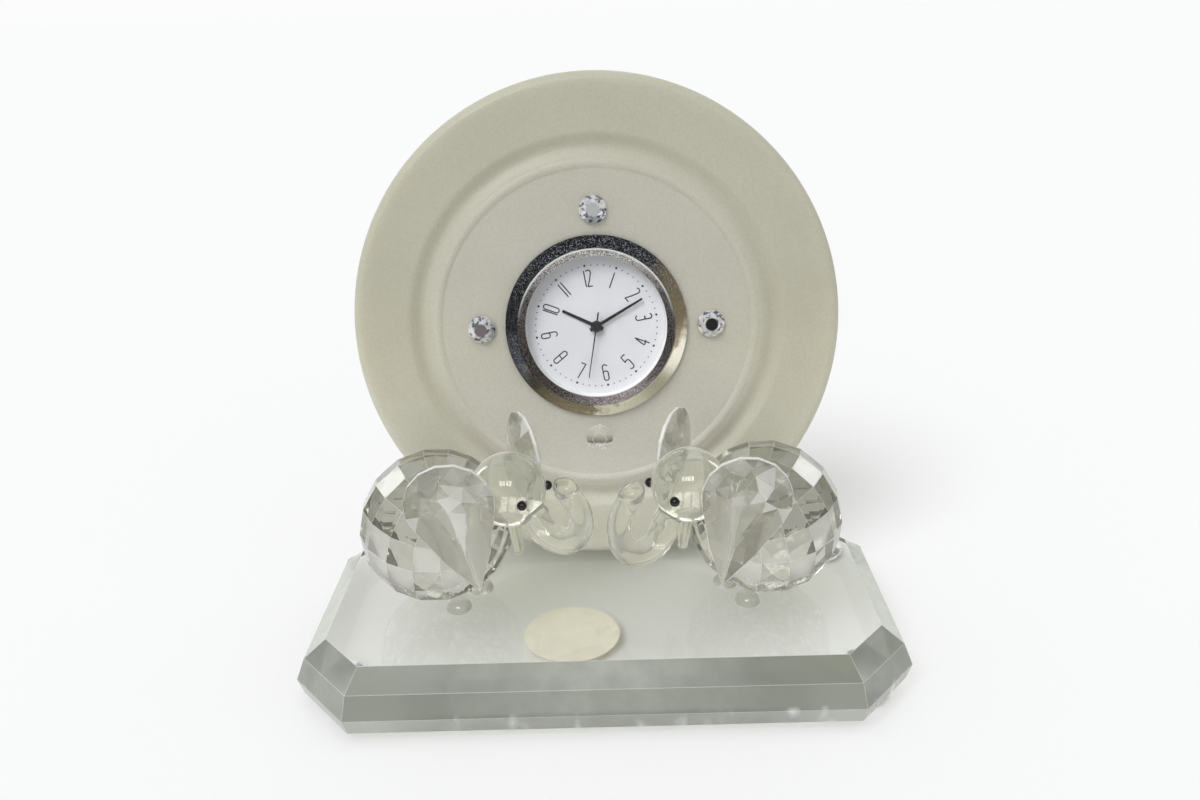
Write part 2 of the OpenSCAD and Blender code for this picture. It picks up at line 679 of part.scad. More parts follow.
// Gears with straight flanks, narrow enough at the root and the tip to leave backlash. Each
// tooth's corners are given as shares of its pitch and of its addendum. A mate's turn puts its
// gap where the first gear has a tooth, in the direction of the mate.
tooth = [[-0.29, -1.25], [-0.12, 1], [0.12, 1], [0.29, -1.25]];
function mate(direction, turn, teeth, mate_teeth) = direction + 180 + (180 + (direction - turn) * teeth) / mate_teeth;
module gear(teeth, pitch_r, z, h, turn = 0) {
    addendum = pitch_r / teeth * 1.9;
    step = 360 / teeth;
    translate([0, 0, z]) rotate([0, 0, turn]) linear_extrude(h) polygon([for (k = [0:teeth - 1]) for (p = tooth)
        let (a = step * (k + p[0]), r = pitch_r + addendum * p[1]) r * [cos(a), sin(a)]]);
}
function share(reach, teeth, other) = reach * teeth / (teeth + other);
module arbor(z, top) { translate([0, 0, z]) cylinder(r = arbor_r, h = top - z, $fn = 32); }
pivot_low = bridge_z + 2 * layer_gap;
pivot_high = plate_z + bearing_depth - 3 * layer_gap;

module seconds_wheel() {
    color("#D9B65C") on_insert() {
        gear(seconds_teeth, share(inter_reach, seconds_teeth, inter_pinion_teeth), fourth_wheel_z, wheel_t);
        gear(seconds_pinion_teeth, share(third_reach, seconds_pinion_teeth, third_teeth), third_wheel_z, wheel_t);
        arbor(pivot_low, second_hand_z + hand_t - layer_gap);
    }
}
module third_wheel() {
    color("#D9B65C") on_insert() translate(third_at) {
        gear(third_teeth, share(third_reach, third_teeth, seconds_pinion_teeth), third_wheel_z, wheel_t, mate(third_dir, 0, seconds_pinion_teeth, third_teeth));
        gear(third_pinion_teeth, share(third_reach, third_pinion_teeth, centre_teeth), centre_wheel_z, wheel_t);
        arbor(pivot_low, pivot_high);
    }
}
module centre_wheel() {
    color("#D9B65C") on_insert() difference() {
        union() {
            gear(centre_teeth, share(third_reach, centre_teeth, third_pinion_teeth), centre_wheel_z, wheel_t, mate(third_dir + 180, 0, third_pinion_teeth, centre_teeth));
            gear(cannon_teeth, share(minute_reach, cannon_teeth, minute_teeth), motion_wheel_z, wheel_t);
            translate([0, 0, centre_wheel_z]) cylinder(r = cannon_r, h = minute_hand_z + hand_t - centre_wheel_z, $fn = 48);
        }
        translate([0, 0, centre_wheel_z - past]) cylinder(r = cannon_bore_r, h = minute_hand_z + hand_t - centre_wheel_z + 2 * past, $fn = 32);
    }
}
module minute_wheel() {
    color("#D9B65C") on_insert() translate(minute_at) difference() {
        union() {
            gear(minute_teeth, share(minute_reach, minute_teeth, cannon_teeth), motion_wheel_z, wheel_t, mate(minute_dir, 0, cannon_teeth, minute_teeth));
            gear(minute_pinion_teeth, share(minute_reach, minute_pinion_teeth, hour_teeth), motion_wheel_z, hour_wheel_z - motion_wheel_z + wheel_t);
        }
        translate([0, 0, motion_wheel_z - past]) cylinder(r = post_r + slip, h = hour_wheel_z - motion_wheel_z + wheel_t + 2 * past, $fn = 32);
    }
}
module hour_wheel() {
    color("#D9B65C") on_insert() difference() {
        union() {
            gear(hour_teeth, share(minute_reach, hour_teeth, minute_pinion_teeth), hour_wheel_z, wheel_t, mate(minute_dir + 180, 0, minute_pinion_teeth, hour_teeth));
            translate([0, 0, hour_wheel_z]) cylinder(r = hour_tube_r, h = hour_hand_z + hand_t - hour_wheel_z, $fn = 48);
        }
        translate([0, 0, hour_wheel_z - past]) cylinder(r = hour_bore_r, h = hour_hand_z + hand_t - hour_wheel_z + 2 * past, $fn = 48);
    }
}
module intermediate_wheel() {
    color("#E9E7DF") on_insert() translate(inter_at) {
        gear(inter_pinion_teeth, share(inter_reach, inter_pinion_teeth, seconds_teeth), fourth_wheel_z, wheel_t, mate(inter_dir, 0, seconds_teeth, inter_pinion_teeth));
        gear(inter_teeth, share(rotor_reach, inter_teeth, rotor_pinion_teeth), inter_wheel_z, wheel_t);
        arbor(pivot_low, pivot_high);
    }
}
module rotor() {
    color("#8A8D90") on_insert() translate(rotor_at) {
        translate([0, 0, magnet_z]) cylinder(r = magnet_r, h = magnet_h, $fn = 64);
        gear(rotor_pinion_teeth, share(rotor_reach, rotor_pinion_teeth, inter_teeth), inter_wheel_z, wheel_t, mate(rotor_dir, 0, inter_teeth, rotor_pinion_teeth));
        arbor(pivot_low, pivot_high);
    }
}

// Hands, tapering from their hubs, turned clockwise from twelve
module hand(hub_r, bore_r, z, length, root_w, tip_w, tail, turn) {
    color("#151515") on_insert() rotate([0, 0, -turn]) translate([0, 0, z]) linear_extrude(hand_t) difference() {
        union() {
            circle(r = hub_r, $fn = 48);
            polygon([[-root_w / 2, -tail], [root_w / 2, -tail], [tip_w / 2, length], [-tip_w / 2, length]]);
        }
        circle(r = bore_r, $fn = 32);
    }
}
module hour_hand() {
    hand(hub_r = 1.15, bore_r = hour_tube_r + slip, z = hour_hand_z, length = hour_hand_l, root_w = 0.8, tip_w = 0.55, tail = 1.5, turn = hour_shown * 30);
}
module minute_hand() {
    hand(hub_r = 1.1, bore_r = cannon_r + slip, z = minute_hand_z, length = minute_hand_l, root_w = 0.75, tip_w = 0.4, tail = 1.5, turn = minute_shown * 6);
}
second_hub_r = 1.1;
hub_dome = 0.2;                       // height of the hub's domed cap
module second_hand() {
    hand(hub_r = second_hub_r, bore_r = arbor_r + slip, z = second_hand_z, length = second_hand_l, root_w = 0.3, tip_w = 0.18, tail = 3, turn = second_shown * 6);
    color("#151515") on_insert() translate([0, 0, second_hand_z + hand_t - tiny]) rotate_extrude($fn = 48)
        polygon([[0, 0], for (a = [0:15:75]) [second_hub_r * cos(a), tiny + hub_dome * sin(a)], [0, tiny + hub_dome]]);
}

// Setting stem, the lever that rides in its groove, and the crown
groove_r = stem_r - 0.15;
stem_tail = 0.45;                     // stem's length past its groove
module setting_lever() {
    color("#AEB2B6") on_insert() difference() {
        translate([lever_x, -lever_w / 2, plate_z + lever_room]) cube([lever_t, lever_w, lever_h]);
        translate([lever_x - past, 0, stem_z]) rotate([0, 90, 0]) cylinder(r = groove_r + slip, h = lever_t + 2 * past, $fn = 32);
    }
}
module setting_stem() {
    low = lever_x - slip;
    high = lever_x + lever_t + slip;
    tail = low - stem_tail + slip;
    end = crown_from - layer_gap;
    color("#AEB2B6") on_insert() translate([0, 0, stem_z]) rotate([0, 90, 0]) rotate_extrude($fn = 48) polygon([
        [0, tail], [stem_r, tail], [stem_r, low], [groove_r, low], [groove_r, high], [stem_r, high], [stem_r, end], [0, end]]);
}
crown_ridges = 24;
ridge_depth = 0.1;
module crown() {
    step = 180 / crown_ridges;
    color("#BDB9B2") on_insert() translate([crown_from, 0, stem_z]) rotate([0, 90, 0]) linear_extrude(crown_l)
        polygon([for (k = [0:2 * crown_ridges - 1]) (crown_r - (k % 2) * ridge_depth) * [cos(step * k), sin(step * k)]]);
}

base_block();
base_bumpers();
base_label();
frosted_disc();
foiled_markers();
clear_marker();
left_body();
left_head();
left_trunk();
left_near_ear();
left_far_ear();
left_eyes();
left_feet();
right_body();
right_head();
right_trunk();
right_near_ear();
right_far_ear();
right_eyes();
right_feet();
bezel();
lens();
dial_surround();
dial();
case_can();
grip_ring();
back_cover();
movement_ring();
main_plate();
circuit_board();
quartz_crystal();
coil();
stator();
button_cell();
cell_clip();
train_bridge();
bridge_screws();
rotor();
intermediate_wheel();
seconds_wheel();
second_hand();
third_wheel();
centre_wheel();
minute_hand();
minute_wheel();
hour_wheel();
hour_hand();
setting_lever();
setting_stem();
crown();
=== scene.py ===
# %% [markdown]
# A desk clock in crystal: a bevelled glass base on four soft bumpers, a leaning disc of frosted
# glass that holds a small quartz clock, and two elephants of cut and lamp-worked glass that face
# each other. The construction model gives every piece its size and place. This file gives each
# piece its finish, and adds what the construction model leaves plain: the print on the dial, the
# soft shape of the heads and trunks, and the rounded bumpers. Lengths are in millimetres and are
# turned to metres once, where a mesh, a light or a material is made.

# %% Libraries and the construction model
import math

import bpy
import numpy as np
from mathutils import Matrix, Vector


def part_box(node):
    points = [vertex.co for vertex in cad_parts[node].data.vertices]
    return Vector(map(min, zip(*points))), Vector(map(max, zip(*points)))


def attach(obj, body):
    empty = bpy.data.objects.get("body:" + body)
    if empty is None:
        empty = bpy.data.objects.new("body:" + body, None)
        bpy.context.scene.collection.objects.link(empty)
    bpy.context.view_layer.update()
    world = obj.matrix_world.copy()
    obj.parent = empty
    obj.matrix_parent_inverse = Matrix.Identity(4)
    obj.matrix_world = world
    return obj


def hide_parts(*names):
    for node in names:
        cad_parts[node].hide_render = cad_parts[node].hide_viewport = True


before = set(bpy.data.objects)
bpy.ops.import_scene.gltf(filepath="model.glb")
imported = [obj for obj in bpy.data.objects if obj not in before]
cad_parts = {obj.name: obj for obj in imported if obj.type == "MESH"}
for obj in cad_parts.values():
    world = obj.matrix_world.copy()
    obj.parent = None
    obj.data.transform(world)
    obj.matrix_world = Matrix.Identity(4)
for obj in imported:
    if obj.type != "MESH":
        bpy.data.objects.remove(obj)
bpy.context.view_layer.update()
MM = 0.001

# %% [markdown]
# Most of the clock is built along two tilted directions: the disc leans back by 12 degrees,
# and the clock in it was pushed in a little turned, 9.5 degrees anticlockwise. A point on the
# disc is easiest to write as right, up the disc, and out of its face. One small function turns
# such points into the frame that all pieces share. The lens is a plain round plate, so the
# middle of its box is a point on the disc's axis, and it is the anchor here.

# %% The disc's own directions
lean = math.radians(12)
insert_turn = math.radians(9.5)
lens_low, lens_high = (np.array(corner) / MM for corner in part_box("lens"))
out_of_disc = np.array([0, -math.cos(lean), math.sin(lean)])
up_disc = np.array([0, math.sin(lean), math.cos(lean)])
lens_middle_height = 1.325  # from the disc's face out to the middle of the lens
disc_centre = (lens_low + lens_high) / 2 - lens_middle_height * out_of_disc


def on_disc(points, turn=0.0):
    """Points given as right, up the disc and out of its face. They are turned anticlockwise by
    turn, then leant back and moved so that zero is the middle of the disc's face."""
    points = np.asarray(points, float)
    x = points[..., 0] * math.cos(turn) - points[..., 1] * math.sin(turn)
    y = points[..., 0] * math.sin(turn) + points[..., 1] * math.cos(turn)
    flat = x[..., None] * [1, 0, 0] + y[..., None] * up_disc
    return disc_centre + flat + points[..., 2:] * out_of_disc


print("disc centre", disc_centre.round(2))

# %% [markdown]
# Every new piece is a grid of points, or a set of flat polygons, worked out as whole numpy
# arrays. One helper puts points with a list of faces into Blender, one ties the new piece to a
# moving or still body, and one lists the faces of a grid that closes on itself sideways.

# %% Meshes from arrays
def object_from(name, points, faces, finish, smooth=False):
    """A mesh object from points in millimetres and faces of point numbers."""
    mesh = bpy.data.meshes.new(name)
    mesh.from_pydata((np.asarray(points) * MM).tolist(), [], [list(map(int, f)) for f in faces])
    mesh.validate()
    mesh.polygons.foreach_set("use_smooth", [smooth] * len(mesh.polygons))
    mesh.materials.append(finish)
    made = bpy.data.objects.new(name, mesh)
    bpy.context.scene.collection.objects.link(made)
    return made


def piece_from(name, points, faces, body, finish, smooth=False):
    """A mesh object that rides on a body."""
    made = object_from(name, points, faces, finish, smooth)
    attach(made, body)
    return made


def grid_faces(rows, columns):
    """Four-cornered faces of a grid of points, row by row, that closes on itself sideways."""
    row, column = np.meshgrid(np.arange(rows - 1), np.arange(columns), indexing="ij")
    here, there = row * columns, (row + 1) * columns
    right = (column + 1) % columns
    return np.stack([here + column, here + right, there + right, there + column], -1).reshape(-1, 4)


# %% [markdown]
# A material is a small tree of nodes. One function adds a node with its settings and links, and
# its other half does the same to a node that is there already. Colours are written as the hex
# codes that a colour picker shows, and one function turns them to the linear values that light
# adds up in. Patterns are counted in millimetres, from each piece's own place.

# %% Colours and nodes
def linear(code):
    """The linear red, green and blue of a hex colour, with a full alpha."""
    srgb = np.array([int(code[i:i + 2], 16) for i in (1, 3, 5)]) / 255
    parts = np.where(srgb <= 0.04045, srgb / 12.92, ((srgb + 0.055) / 1.055) ** 2.4)
    return (*parts.tolist(), 1.0)


def fill(tree, node, **given):
    """Sets and links what is given on a node. A name is a setting of the node, or a socket with
    its spaces written as underscores, or i0, i1 and so on for a socket by its number. A value
    is a number, a hex code, a socket to link, or a node, whose first open output is linked.
    The stops of a colour ramp are pairs of a place from 0 to 1 and a hex code."""
    for name, value in given.items():
        if name == "stops":
            while len(node.color_ramp.elements) < len(value):
                node.color_ramp.elements.new(0.5)
            for element, (place, code) in zip(node.color_ramp.elements, value):
                element.position = place
                element.color = linear(code)
            continue
        if isinstance(value, str) and value.startswith("#"):
            value = linear(value)
        if isinstance(value, bpy.types.Node):
            value = next(output for output in value.outputs if output.enabled)
        numbered = name[0] == "i" and name[1:].isdigit()
        socket = node.inputs[int(name[1:])] if numbered else node.inputs.get(name.replace("_", " "))
        if socket is None:
            setattr(node, name, value)
        elif isinstance(value, bpy.types.NodeSocket):
            tree.links.new(value, socket)
        else:
            socket.default_value = value
    return node


def add(tree, kind, **given):
    """Adds one shader node of a kind, filled with what is given."""
    return fill(tree, tree.nodes.new("ShaderNode" + kind), **given)


def empty_tree(owner):
    """The node tree of a material or a world, with nothing in it."""
    owner.use_nodes = True
    owner.node_tree.nodes.clear()
    return owner.node_tree


def new_finish(name, **sockets):
    """A material with one Principled shader that has these sockets, and its tree."""
    material = bpy.data.materials.new(name)
    tree = empty_tree(material)
    shader = add(tree, "BsdfPrincipled", **sockets)
    add(tree, "OutputMaterial", Surface=shader)
    return material, tree, shader


def wear(material, *nodes):
    """Puts one material on construction nodes."""
    for name in nodes:
        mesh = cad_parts[name].data
        mesh.materials.clear()
        mesh.materials.append(material)


def noise(tree, size_mm, **given):
    """A noise whose spots measure about size_mm, in the piece's own place."""
    place = add(tree, "TexCoord").outputs["Object"]
    return add(tree, "TexNoise", Vector=place, Scale=1 / (size_mm * MM), **given)


def place_from(tree, point):
    """The place of a surface point, counted from a point that is given in millimetres."""
    place = add(tree, "TexCoord").outputs["Object"]
    return add(tree, "VectorMath", operation="SUBTRACT", i0=place, i1=np.asarray(point) * MM)


print("white is", linear("#FFFFFF"))

# %% [markdown]
# Real glass throws a bright shadow. Cycles would need very many samples to find the light's way
# through each piece, so shadow rays pass through a transparent shader of nearly the same tint,
# and every other ray sees the finish itself. One function adds this to any finish. The frosted
# disc and the paper label get it too, because light comes through both.

# %% Light shadows
def light_shadow(tree, shader, tint):
    """Shadow rays pass through a tinted transparent shader, and all other rays see the shader.
    The output node is given back."""
    see_through = add(tree, "BsdfTransparent", Color=tint)
    shadow_ray = add(tree, "LightPath").outputs["Is Shadow Ray"]
    mixed = add(tree, "MixShader", i0=shadow_ray, i1=shader, i2=see_through)
    output = [node for node in tree.nodes if node.type == "OUTPUT_MATERIAL"][0]
    return fill(tree, output, Surface=mixed)


# %% [markdown]
# Clear glass takes its grey green from its thickness: a little iron in the melt swallows light
# on its way through, so a long way through the base looks darker than a short one. That is the
# absorption of the volume. A polish is never quite clean, so the roughness wanders between zero
# and a faint smudge. Three pieces need nothing more: the pressed paws, which are a little hazy,
# the lens over the dial, and the soft vinyl of the bumpers.

# %% Clear glass
def glass_finish(name, ior, thick_tint, per_metre, shadow_tint, smudge, haze=0.0, skin="#FAFBFA"):
    """Polished glass with faint smudges. The volume keeps a tint and swallows per_metre of the
    rest, and the shadow is light. The haze is the share of light that a worn, dusty skin
    scatters instead of letting it through, in the skin's colour."""
    material, tree, shader = new_finish(name, Base_Color=skin, Transmission_Weight=1.0 - haze, IOR=ior,
                                        Roughness=0.0)
    wiped = noise(tree, 9, Detail=3.0)
    fill(tree, shader, Roughness=add(tree, "MapRange", Value=wiped, To_Max=smudge))
    output = light_shadow(tree, shader, shadow_tint)
    fill(tree, output, Volume=add(tree, "VolumeAbsorption", Color=thick_tint, Density=per_metre))
    return material, tree, shader


paw_glass, _, _ = glass_finish("pressed clear glass", 1.48, "#D0D0C6", 10, "#F7F7F5", 0.05,
                               haze=0.25, skin="#F0F0EA")
lens_glass, _, _ = glass_finish("flat mineral glass", 1.45, "#FFFFFF", 1, "#F6F6F6", 0.01)
bumper_vinyl, _, _ = glass_finish("clear soft vinyl", 1.46, "#D8DAD4", 20, "#E8E9E6", 0.08)
wear(paw_glass, "left_feet", "right_feet")
wear(lens_glass, "lens")
print("plain clear finishes", 3)

# %% [markdown]
# Cut glass is seen by its facets. Each edge between two of them catches light as a thin white
# line, and each facet is lighter or darker than the next, by what it happens to throw to the
# eye. A path tracer shows that only where a lamp lies just so, so lines, light facets and
# streaks are painted highlights here, drawn as places where the glass is ground white and matt.
# Three masks say where, and one function paints them there. The same function also makes the
# real ground edge of each ear matt.

# %% Facets, matt places and painted highlights
# The white matt places are mostly painted highlights; only the ears' ground edges are really matt.
matt_and_highlight_clear, matt_and_highlight_rough, matt_and_highlight_white = 0.25, 0.4, "#F8F8F4"


def facet_edges(tree, width_mm, first=0.997, full=0.985):
    """One on the narrow strips where two flat faces meet, and zero elsewhere: there the normal
    that a rounded edge would have differs from the face's own normal."""
    rounded = add(tree, "Bevel", samples=4, Radius=width_mm * MM)
    flat = add(tree, "NewGeometry").outputs["True Normal"]
    alike = add(tree, "VectorMath", operation="DOT_PRODUCT", i0=rounded, i1=flat)
    alike = add(tree, "Math", operation="ABSOLUTE", i0=alike)
    return add(tree, "MapRange", Value=alike, From_Min=first, From_Max=full)


def facet_light(tree, most):
    """A share of painted light between zero and most, even over each flat facet and different from
    one facet to the next: a noise of the facet's own direction. About a third of the facets get some."""
    normal = add(tree, "TexCoord").outputs["Normal"]
    chance = add(tree, "TexNoise", Vector=normal, Scale=4.0, Detail=0.0)
    return add(tree, "MapRange", Value=chance, From_Min=0.52, From_Max=0.7, To_Max=most)


def upright_noise(tree, wide_mm, tall_mm):
    """A noise whose spots are taller than wide, for chips and streaks that run down a face."""
    place = add(tree, "TexCoord").outputs["Object"]
    counted = add(tree, "VectorMath", operation="MULTIPLY", i0=place,
                  i1=(1 / (wide_mm * MM), 1 / (wide_mm * MM), 1 / (tall_mm * MM)))
    return add(tree, "TexNoise", Vector=counted, Scale=1.0, Detail=1.0)


def matt_where(tree, shader, mask, clear, skin):
    """Glass that lets the share clear through where the mask is zero, and is ground white and
    matt where it is one: a real ground edge on the ears, and a painted highlight everywhere else."""
    fill(tree, shader,
         Transmission_Weight=add(tree, "MapRange", Value=mask, To_Min=clear, To_Max=matt_and_highlight_clear),
         Roughness=add(tree, "MapRange", Value=mask, To_Max=matt_and_highlight_rough),
         Base_Color=add(tree, "MixRGB", Fac=mask, Color1=skin, Color2=matt_and_highlight_white))


print("a matt place lets through", matt_and_highlight_clear)

# %% [markdown]
# The base is one block of plate glass, polished and clear on top. Its steep faces are worn, and
# they also gather all the light that is trapped in the block, which a plain path tracer would
# need hours for. So they scatter a share of the light in a tone of their own, with painted light
# and shade in it: that is the haze. Faces are told apart by where their normal points: level is
# near one on the top and low on a steep face, and a cut corner points sideways and forwards at
# once. The haze is thickest towards both ends of the front, and there its tone is a painted
# shade, darkest where the eye looks into the corners of the block.

# %% The haze on the steep faces of the base
base_glass, tree, shader = glass_finish("polished plate glass", 1.52, "#BFBFB6", 14, "#E6E6E1", 0.02)
fill(tree, shader, Specular_IOR_Level=0.35)
place = add(tree, "TexCoord")
normal = add(tree, "SeparateXYZ", Vector=place.outputs["Normal"]).outputs
spot = add(tree, "SeparateXYZ", Vector=place.outputs["Object"]).outputs
level = add(tree, "Math", operation="ABSOLUTE", i0=normal["Z"])
steep_face = add(tree, "MapRange", Value=level, From_Min=0.92, From_Max=0.88)
askew = add(tree, "Math", operation="MULTIPLY", i0=normal["X"], i1=normal["Y"])
askew = add(tree, "Math", operation="ABSOLUTE", i0=askew)
corner_face = add(tree, "MapRange", Value=askew, From_Min=0.1, From_Max=0.2)
not_corner = add(tree, "MapRange", Value=askew, From_Min=0.1, From_Max=0.05)
front_face = add(tree, "MapRange", Value=normal["Y"], From_Min=-0.3, From_Max=-0.4)
worn_skin = add(tree, "MapRange", Value=noise(tree, 4, Detail=4.0), To_Min=0.44, To_Max=0.66)
hazy = add(tree, "Math", operation="MULTIPLY", i0=steep_face, i1=worn_skin)
end_haze, end_from, end_full = 0.85, 6, 42  # millimetres from the middle of the front
# The ends of the front get a thicker haze and a painted shade.
from_centre = add(tree, "Math", operation="ABSOLUTE", i0=spot["X"])
end_haze_and_painted_shade = add(tree, "MapRange", Value=from_centre, From_Min=end_from * MM, From_Max=end_full * MM)
end_haze_and_painted_shade = add(tree, "Math", operation="MULTIPLY", i0=end_haze_and_painted_shade, i1=not_corner)
end_haze_and_painted_shade = add(tree, "Math", operation="MULTIPLY", i0=end_haze_and_painted_shade, i1=front_face)
end_skin = add(tree, "Math", operation="MULTIPLY", i0=end_haze_and_painted_shade, i1=end_haze)
hazy = add(tree, "Math", operation="MAXIMUM", i0=hazy, i1=end_skin)
print("haze on the ends of the front", end_haze)

# %% [markdown]
# Painted glints sit along the lower edge of the base, as small upright spots of a noise, and a
# thin painted highlight runs along every edge. Both are white, and as strong as their mask says.
# What is neither hazy nor a glint stays clear.

# %% Painted glints on the edges of the base
# Painted glints in small upright spots along the lower edge, and painted highlights on every edge.
painted_glint_spot = add(tree, "MapRange", Value=upright_noise(tree, 4, 14), From_Min=0.6, From_Max=0.74, To_Max=0.9)
low_edge = add(tree, "MapRange", Value=spot["Z"], From_Min=6.4 * MM, From_Max=5.4 * MM)
painted_glint = add(tree, "Math", operation="MULTIPLY", i0=painted_glint_spot, i1=low_edge)
painted_glint = add(tree, "Math", operation="MULTIPLY", i0=painted_glint, i1=steep_face)
painted_edge_line = add(tree, "Math", operation="MULTIPLY", i0=facet_edges(tree, 0.14), i1=0.8)
painted_glint = add(tree, "Math", operation="MAXIMUM", i0=painted_glint, i1=painted_edge_line)
hazy = add(tree, "Math", operation="MAXIMUM", i0=hazy, i1=painted_glint)
fill(tree, shader, Transmission_Weight=add(tree, "Math", operation="SUBTRACT", i0=1.0, i1=hazy),
     Roughness=add(tree, "MapRange", Value=steep_face, To_Max=0.12))
print("nodes so far", len(tree.nodes))

# %% [markdown]
# The haze carries painted light and shade that goes with the slope. The wide bevel is painted
# pale, for the bright top that it shows through it, and the steep side under it is painted
# darker. On a cut corner it is the other way round, because the bevel there looks across the
# whole block. A face that leans in under the rim is painted pale again, for the light from the
# sheet that the clock stands on. Both ends of the front are painted darker still.

# %% The painted light and shade of the base
# Painted light and shade by slope, and at the ends of the front.
painted_bevel_shade = add(tree, "ValToRGB", Fac=level, stops=[(0.2, "#969990"), (0.6, "#D6D9CF")])
painted_end_shade = add(tree, "ValToRGB", Fac=end_haze_and_painted_shade, stops=[(0.0, "#FFFFFF"), (1.0, "#A9ACA4")])
painted_end_shade_share = add(tree, "MapRange", Value=level, To_Min=0.1, To_Max=1.2)
painted_haze_tone = add(tree, "MixRGB", blend_type="MULTIPLY", Fac=painted_end_shade_share, Color1=painted_bevel_shade, Color2=painted_end_shade)
painted_corner_shade = add(tree, "ValToRGB", Fac=level, stops=[(0.2, "#C9CBC4"), (0.6, "#A7AAA1")])
painted_haze_tone = add(tree, "MixRGB", Fac=corner_face, Color1=painted_haze_tone, Color2=painted_corner_shade)
# Painted light on a face that leans in under the rim.
undercut = add(tree, "MapRange", Value=normal["Z"], From_Min=-0.05, From_Max=-0.2)
painted_haze_tone = add(tree, "MixRGB", Fac=undercut, Color1=painted_haze_tone, Color2="#CBCEC5")
painted_haze_tone = add(tree, "MixRGB", Fac=steep_face, Color1="#FAFBFA", Color2=painted_haze_tone)
painted_haze_tone = add(tree, "MixRGB", Fac=painted_glint, Color1=painted_haze_tone, Color2="#FFFFFF")
fill(tree, shader, Base_Color=painted_haze_tone)
wear(base_glass, "base_block")
print("base nodes", len(tree.nodes))

# %% [markdown]
# Heads and trunks were worked from a clear rod in a flame. They have no facets: their outline is
# drawn by a painted highlight that turns white where the surface falls away from the eye. Layer
# Weight knows that slant. The bodies are balls of lead crystal, cut facet by facet. Painted
# highlights show on them: light facets, white lines between the facets, and on the lower faces
# fine upright streaks.

# %% Blown glass and cut crystal
blown_glass, tree, shader = glass_finish("lamp-worked clear glass", 1.48, "#C4C4B8", 10, "#F7F7F5", 0.015)
slant = add(tree, "LayerWeight", Blend=0.5).outputs["Facing"]
# Painted highlight: the outline turns white where the surface slants away from the eye.
painted_rim_highlight = add(tree, "MapRange", Value=slant, From_Min=0.64, From_Max=0.92, To_Max=0.95)
matt_where(tree, shader, painted_rim_highlight, 0.85, "#F0F0E6")

cut_crystal, tree, shader = glass_finish("cut lead crystal", 1.54, "#BDBDB0", 20, "#F6F7F4", 0.01)
# Painted highlights: white facet edges, light facets and streaks on the lower faces.
white = add(tree, "Math", operation="MAXIMUM", i0=facet_edges(tree, 0.13), i1=facet_light(tree, 0.55))
painted_streak = add(tree, "MapRange", Value=upright_noise(tree, 1.1, 4), From_Min=0.56, From_Max=0.62)
normal = add(tree, "SeparateXYZ", Vector=add(tree, "TexCoord").outputs["Normal"]).outputs
low_face = add(tree, "MapRange", Value=normal["Z"], From_Min=-0.22, From_Max=-0.34)
painted_streak = add(tree, "Math", operation="MULTIPLY", i0=painted_streak, i1=low_face)
white = add(tree, "Math", operation="MAXIMUM", i0=white, i1=painted_streak)
matt_where(tree, shader, white, 0.92, "#DAD9CF")
wear(cut_crystal, "left_body", "right_body")
print("elephant glasses", 2)

# %% [markdown]
# Four soft clear bumpers stick to the underside, just inside the cut corners, and the clock
# stands on their flat feet. A bumper is a profile carried round: a flat foot, a quarter of an
# ellipse up to the shoulder, and the flat top that is glued to the glass.

# %% Bumpers
bumper_radius, bumper_height, from_corner = 4.25, 1.95, 1.5
foot_share, shoulder_share, bumper_sides = 0.64, 0.9, 48
low, high = (np.array(corner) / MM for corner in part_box("base_bumpers"))
quarter = np.radians(np.linspace(-90, 0, 10))
swell = foot_share + (1 - foot_share) * np.cos(quarter)
profile_r = np.concatenate([[0.0], bumper_radius * swell, [bumper_radius, 0.0]])
profile_z = np.concatenate([[0.0], shoulder_share * bumper_height * (1 + np.sin(quarter)),
                            [bumper_height, bumper_height]])
around = 2 * np.pi * np.arange(bumper_sides) / bumper_sides
bumper = np.stack([profile_r[:, None] * np.cos(around), profile_r[:, None] * np.sin(around),
                   np.repeat(profile_z[:, None], bumper_sides, axis=1)], -1).reshape(-1, 3)
inset = bumper_radius + from_corner
points, faces = [], []
for x in (low[0] + inset, high[0] - inset):
    for y in (low[1] + inset, high[1] - inset):
        faces.append(grid_faces(len(profile_r), bumper_sides)[:, ::-1] + len(points) * len(bumper))
        points.append(bumper + [x, y, 0])
bumpers = piece_from("clear_bumpers", np.concatenate(points), np.concatenate(faces), "stand",
                     bumper_vinyl, True)
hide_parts("base_bumpers")
print("bumpers", len(points))

# %% [markdown]
# Each elephant stands turned towards the viewer, the right one a mirror image of the left. Its
# body is a ball whose middle is the middle of its box. The head's place follows from the body's
# by the reach and the rise of the neck. One function turns a point of the elephant, ahead,
# to its left and up, into the shared frame.

# %% The elephants' own directions
heading = math.radians(30)
neck_reach, neck_rise = 22.2, math.radians(35)
head_radius = 6.9
head_place = neck_reach * np.array([math.cos(neck_rise), 0, math.sin(neck_rise)])


def on_elephant(side, points):
    """Points from the middle of the head, given as ahead, left and up, turned by the heading.
    The side is "left" or "right", and the right one is mirrored."""
    low, high = (np.array(corner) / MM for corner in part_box(side + "_body"))
    points = np.asarray(points, float) + head_place
    x = points[..., 0] * math.cos(heading) + points[..., 1] * math.sin(heading)
    y = points[..., 1] * math.cos(heading) - points[..., 0] * math.sin(heading)
    mirror = 1 if side == "left" else -1
    return (low + high) / 2 + np.stack([mirror * x, y, points[..., 2]], -1)


print("left head", on_elephant("left", [0, 0, 0]).round(2))

# %% [markdown]
# The ears are cut drops, and their thin edge was left as the grinding wheel made it: a matt,
# white line that draws the outline of each ear. A drop is thin at its rim, so the edge is where
# the glass lies close to the ear's middle plane: within 0.42 millimetres on the near ears and
# 0.3 on the far ones. The material measures the distance from that plane. Each ear has its own
# plane, and with it its own copy of the finish.

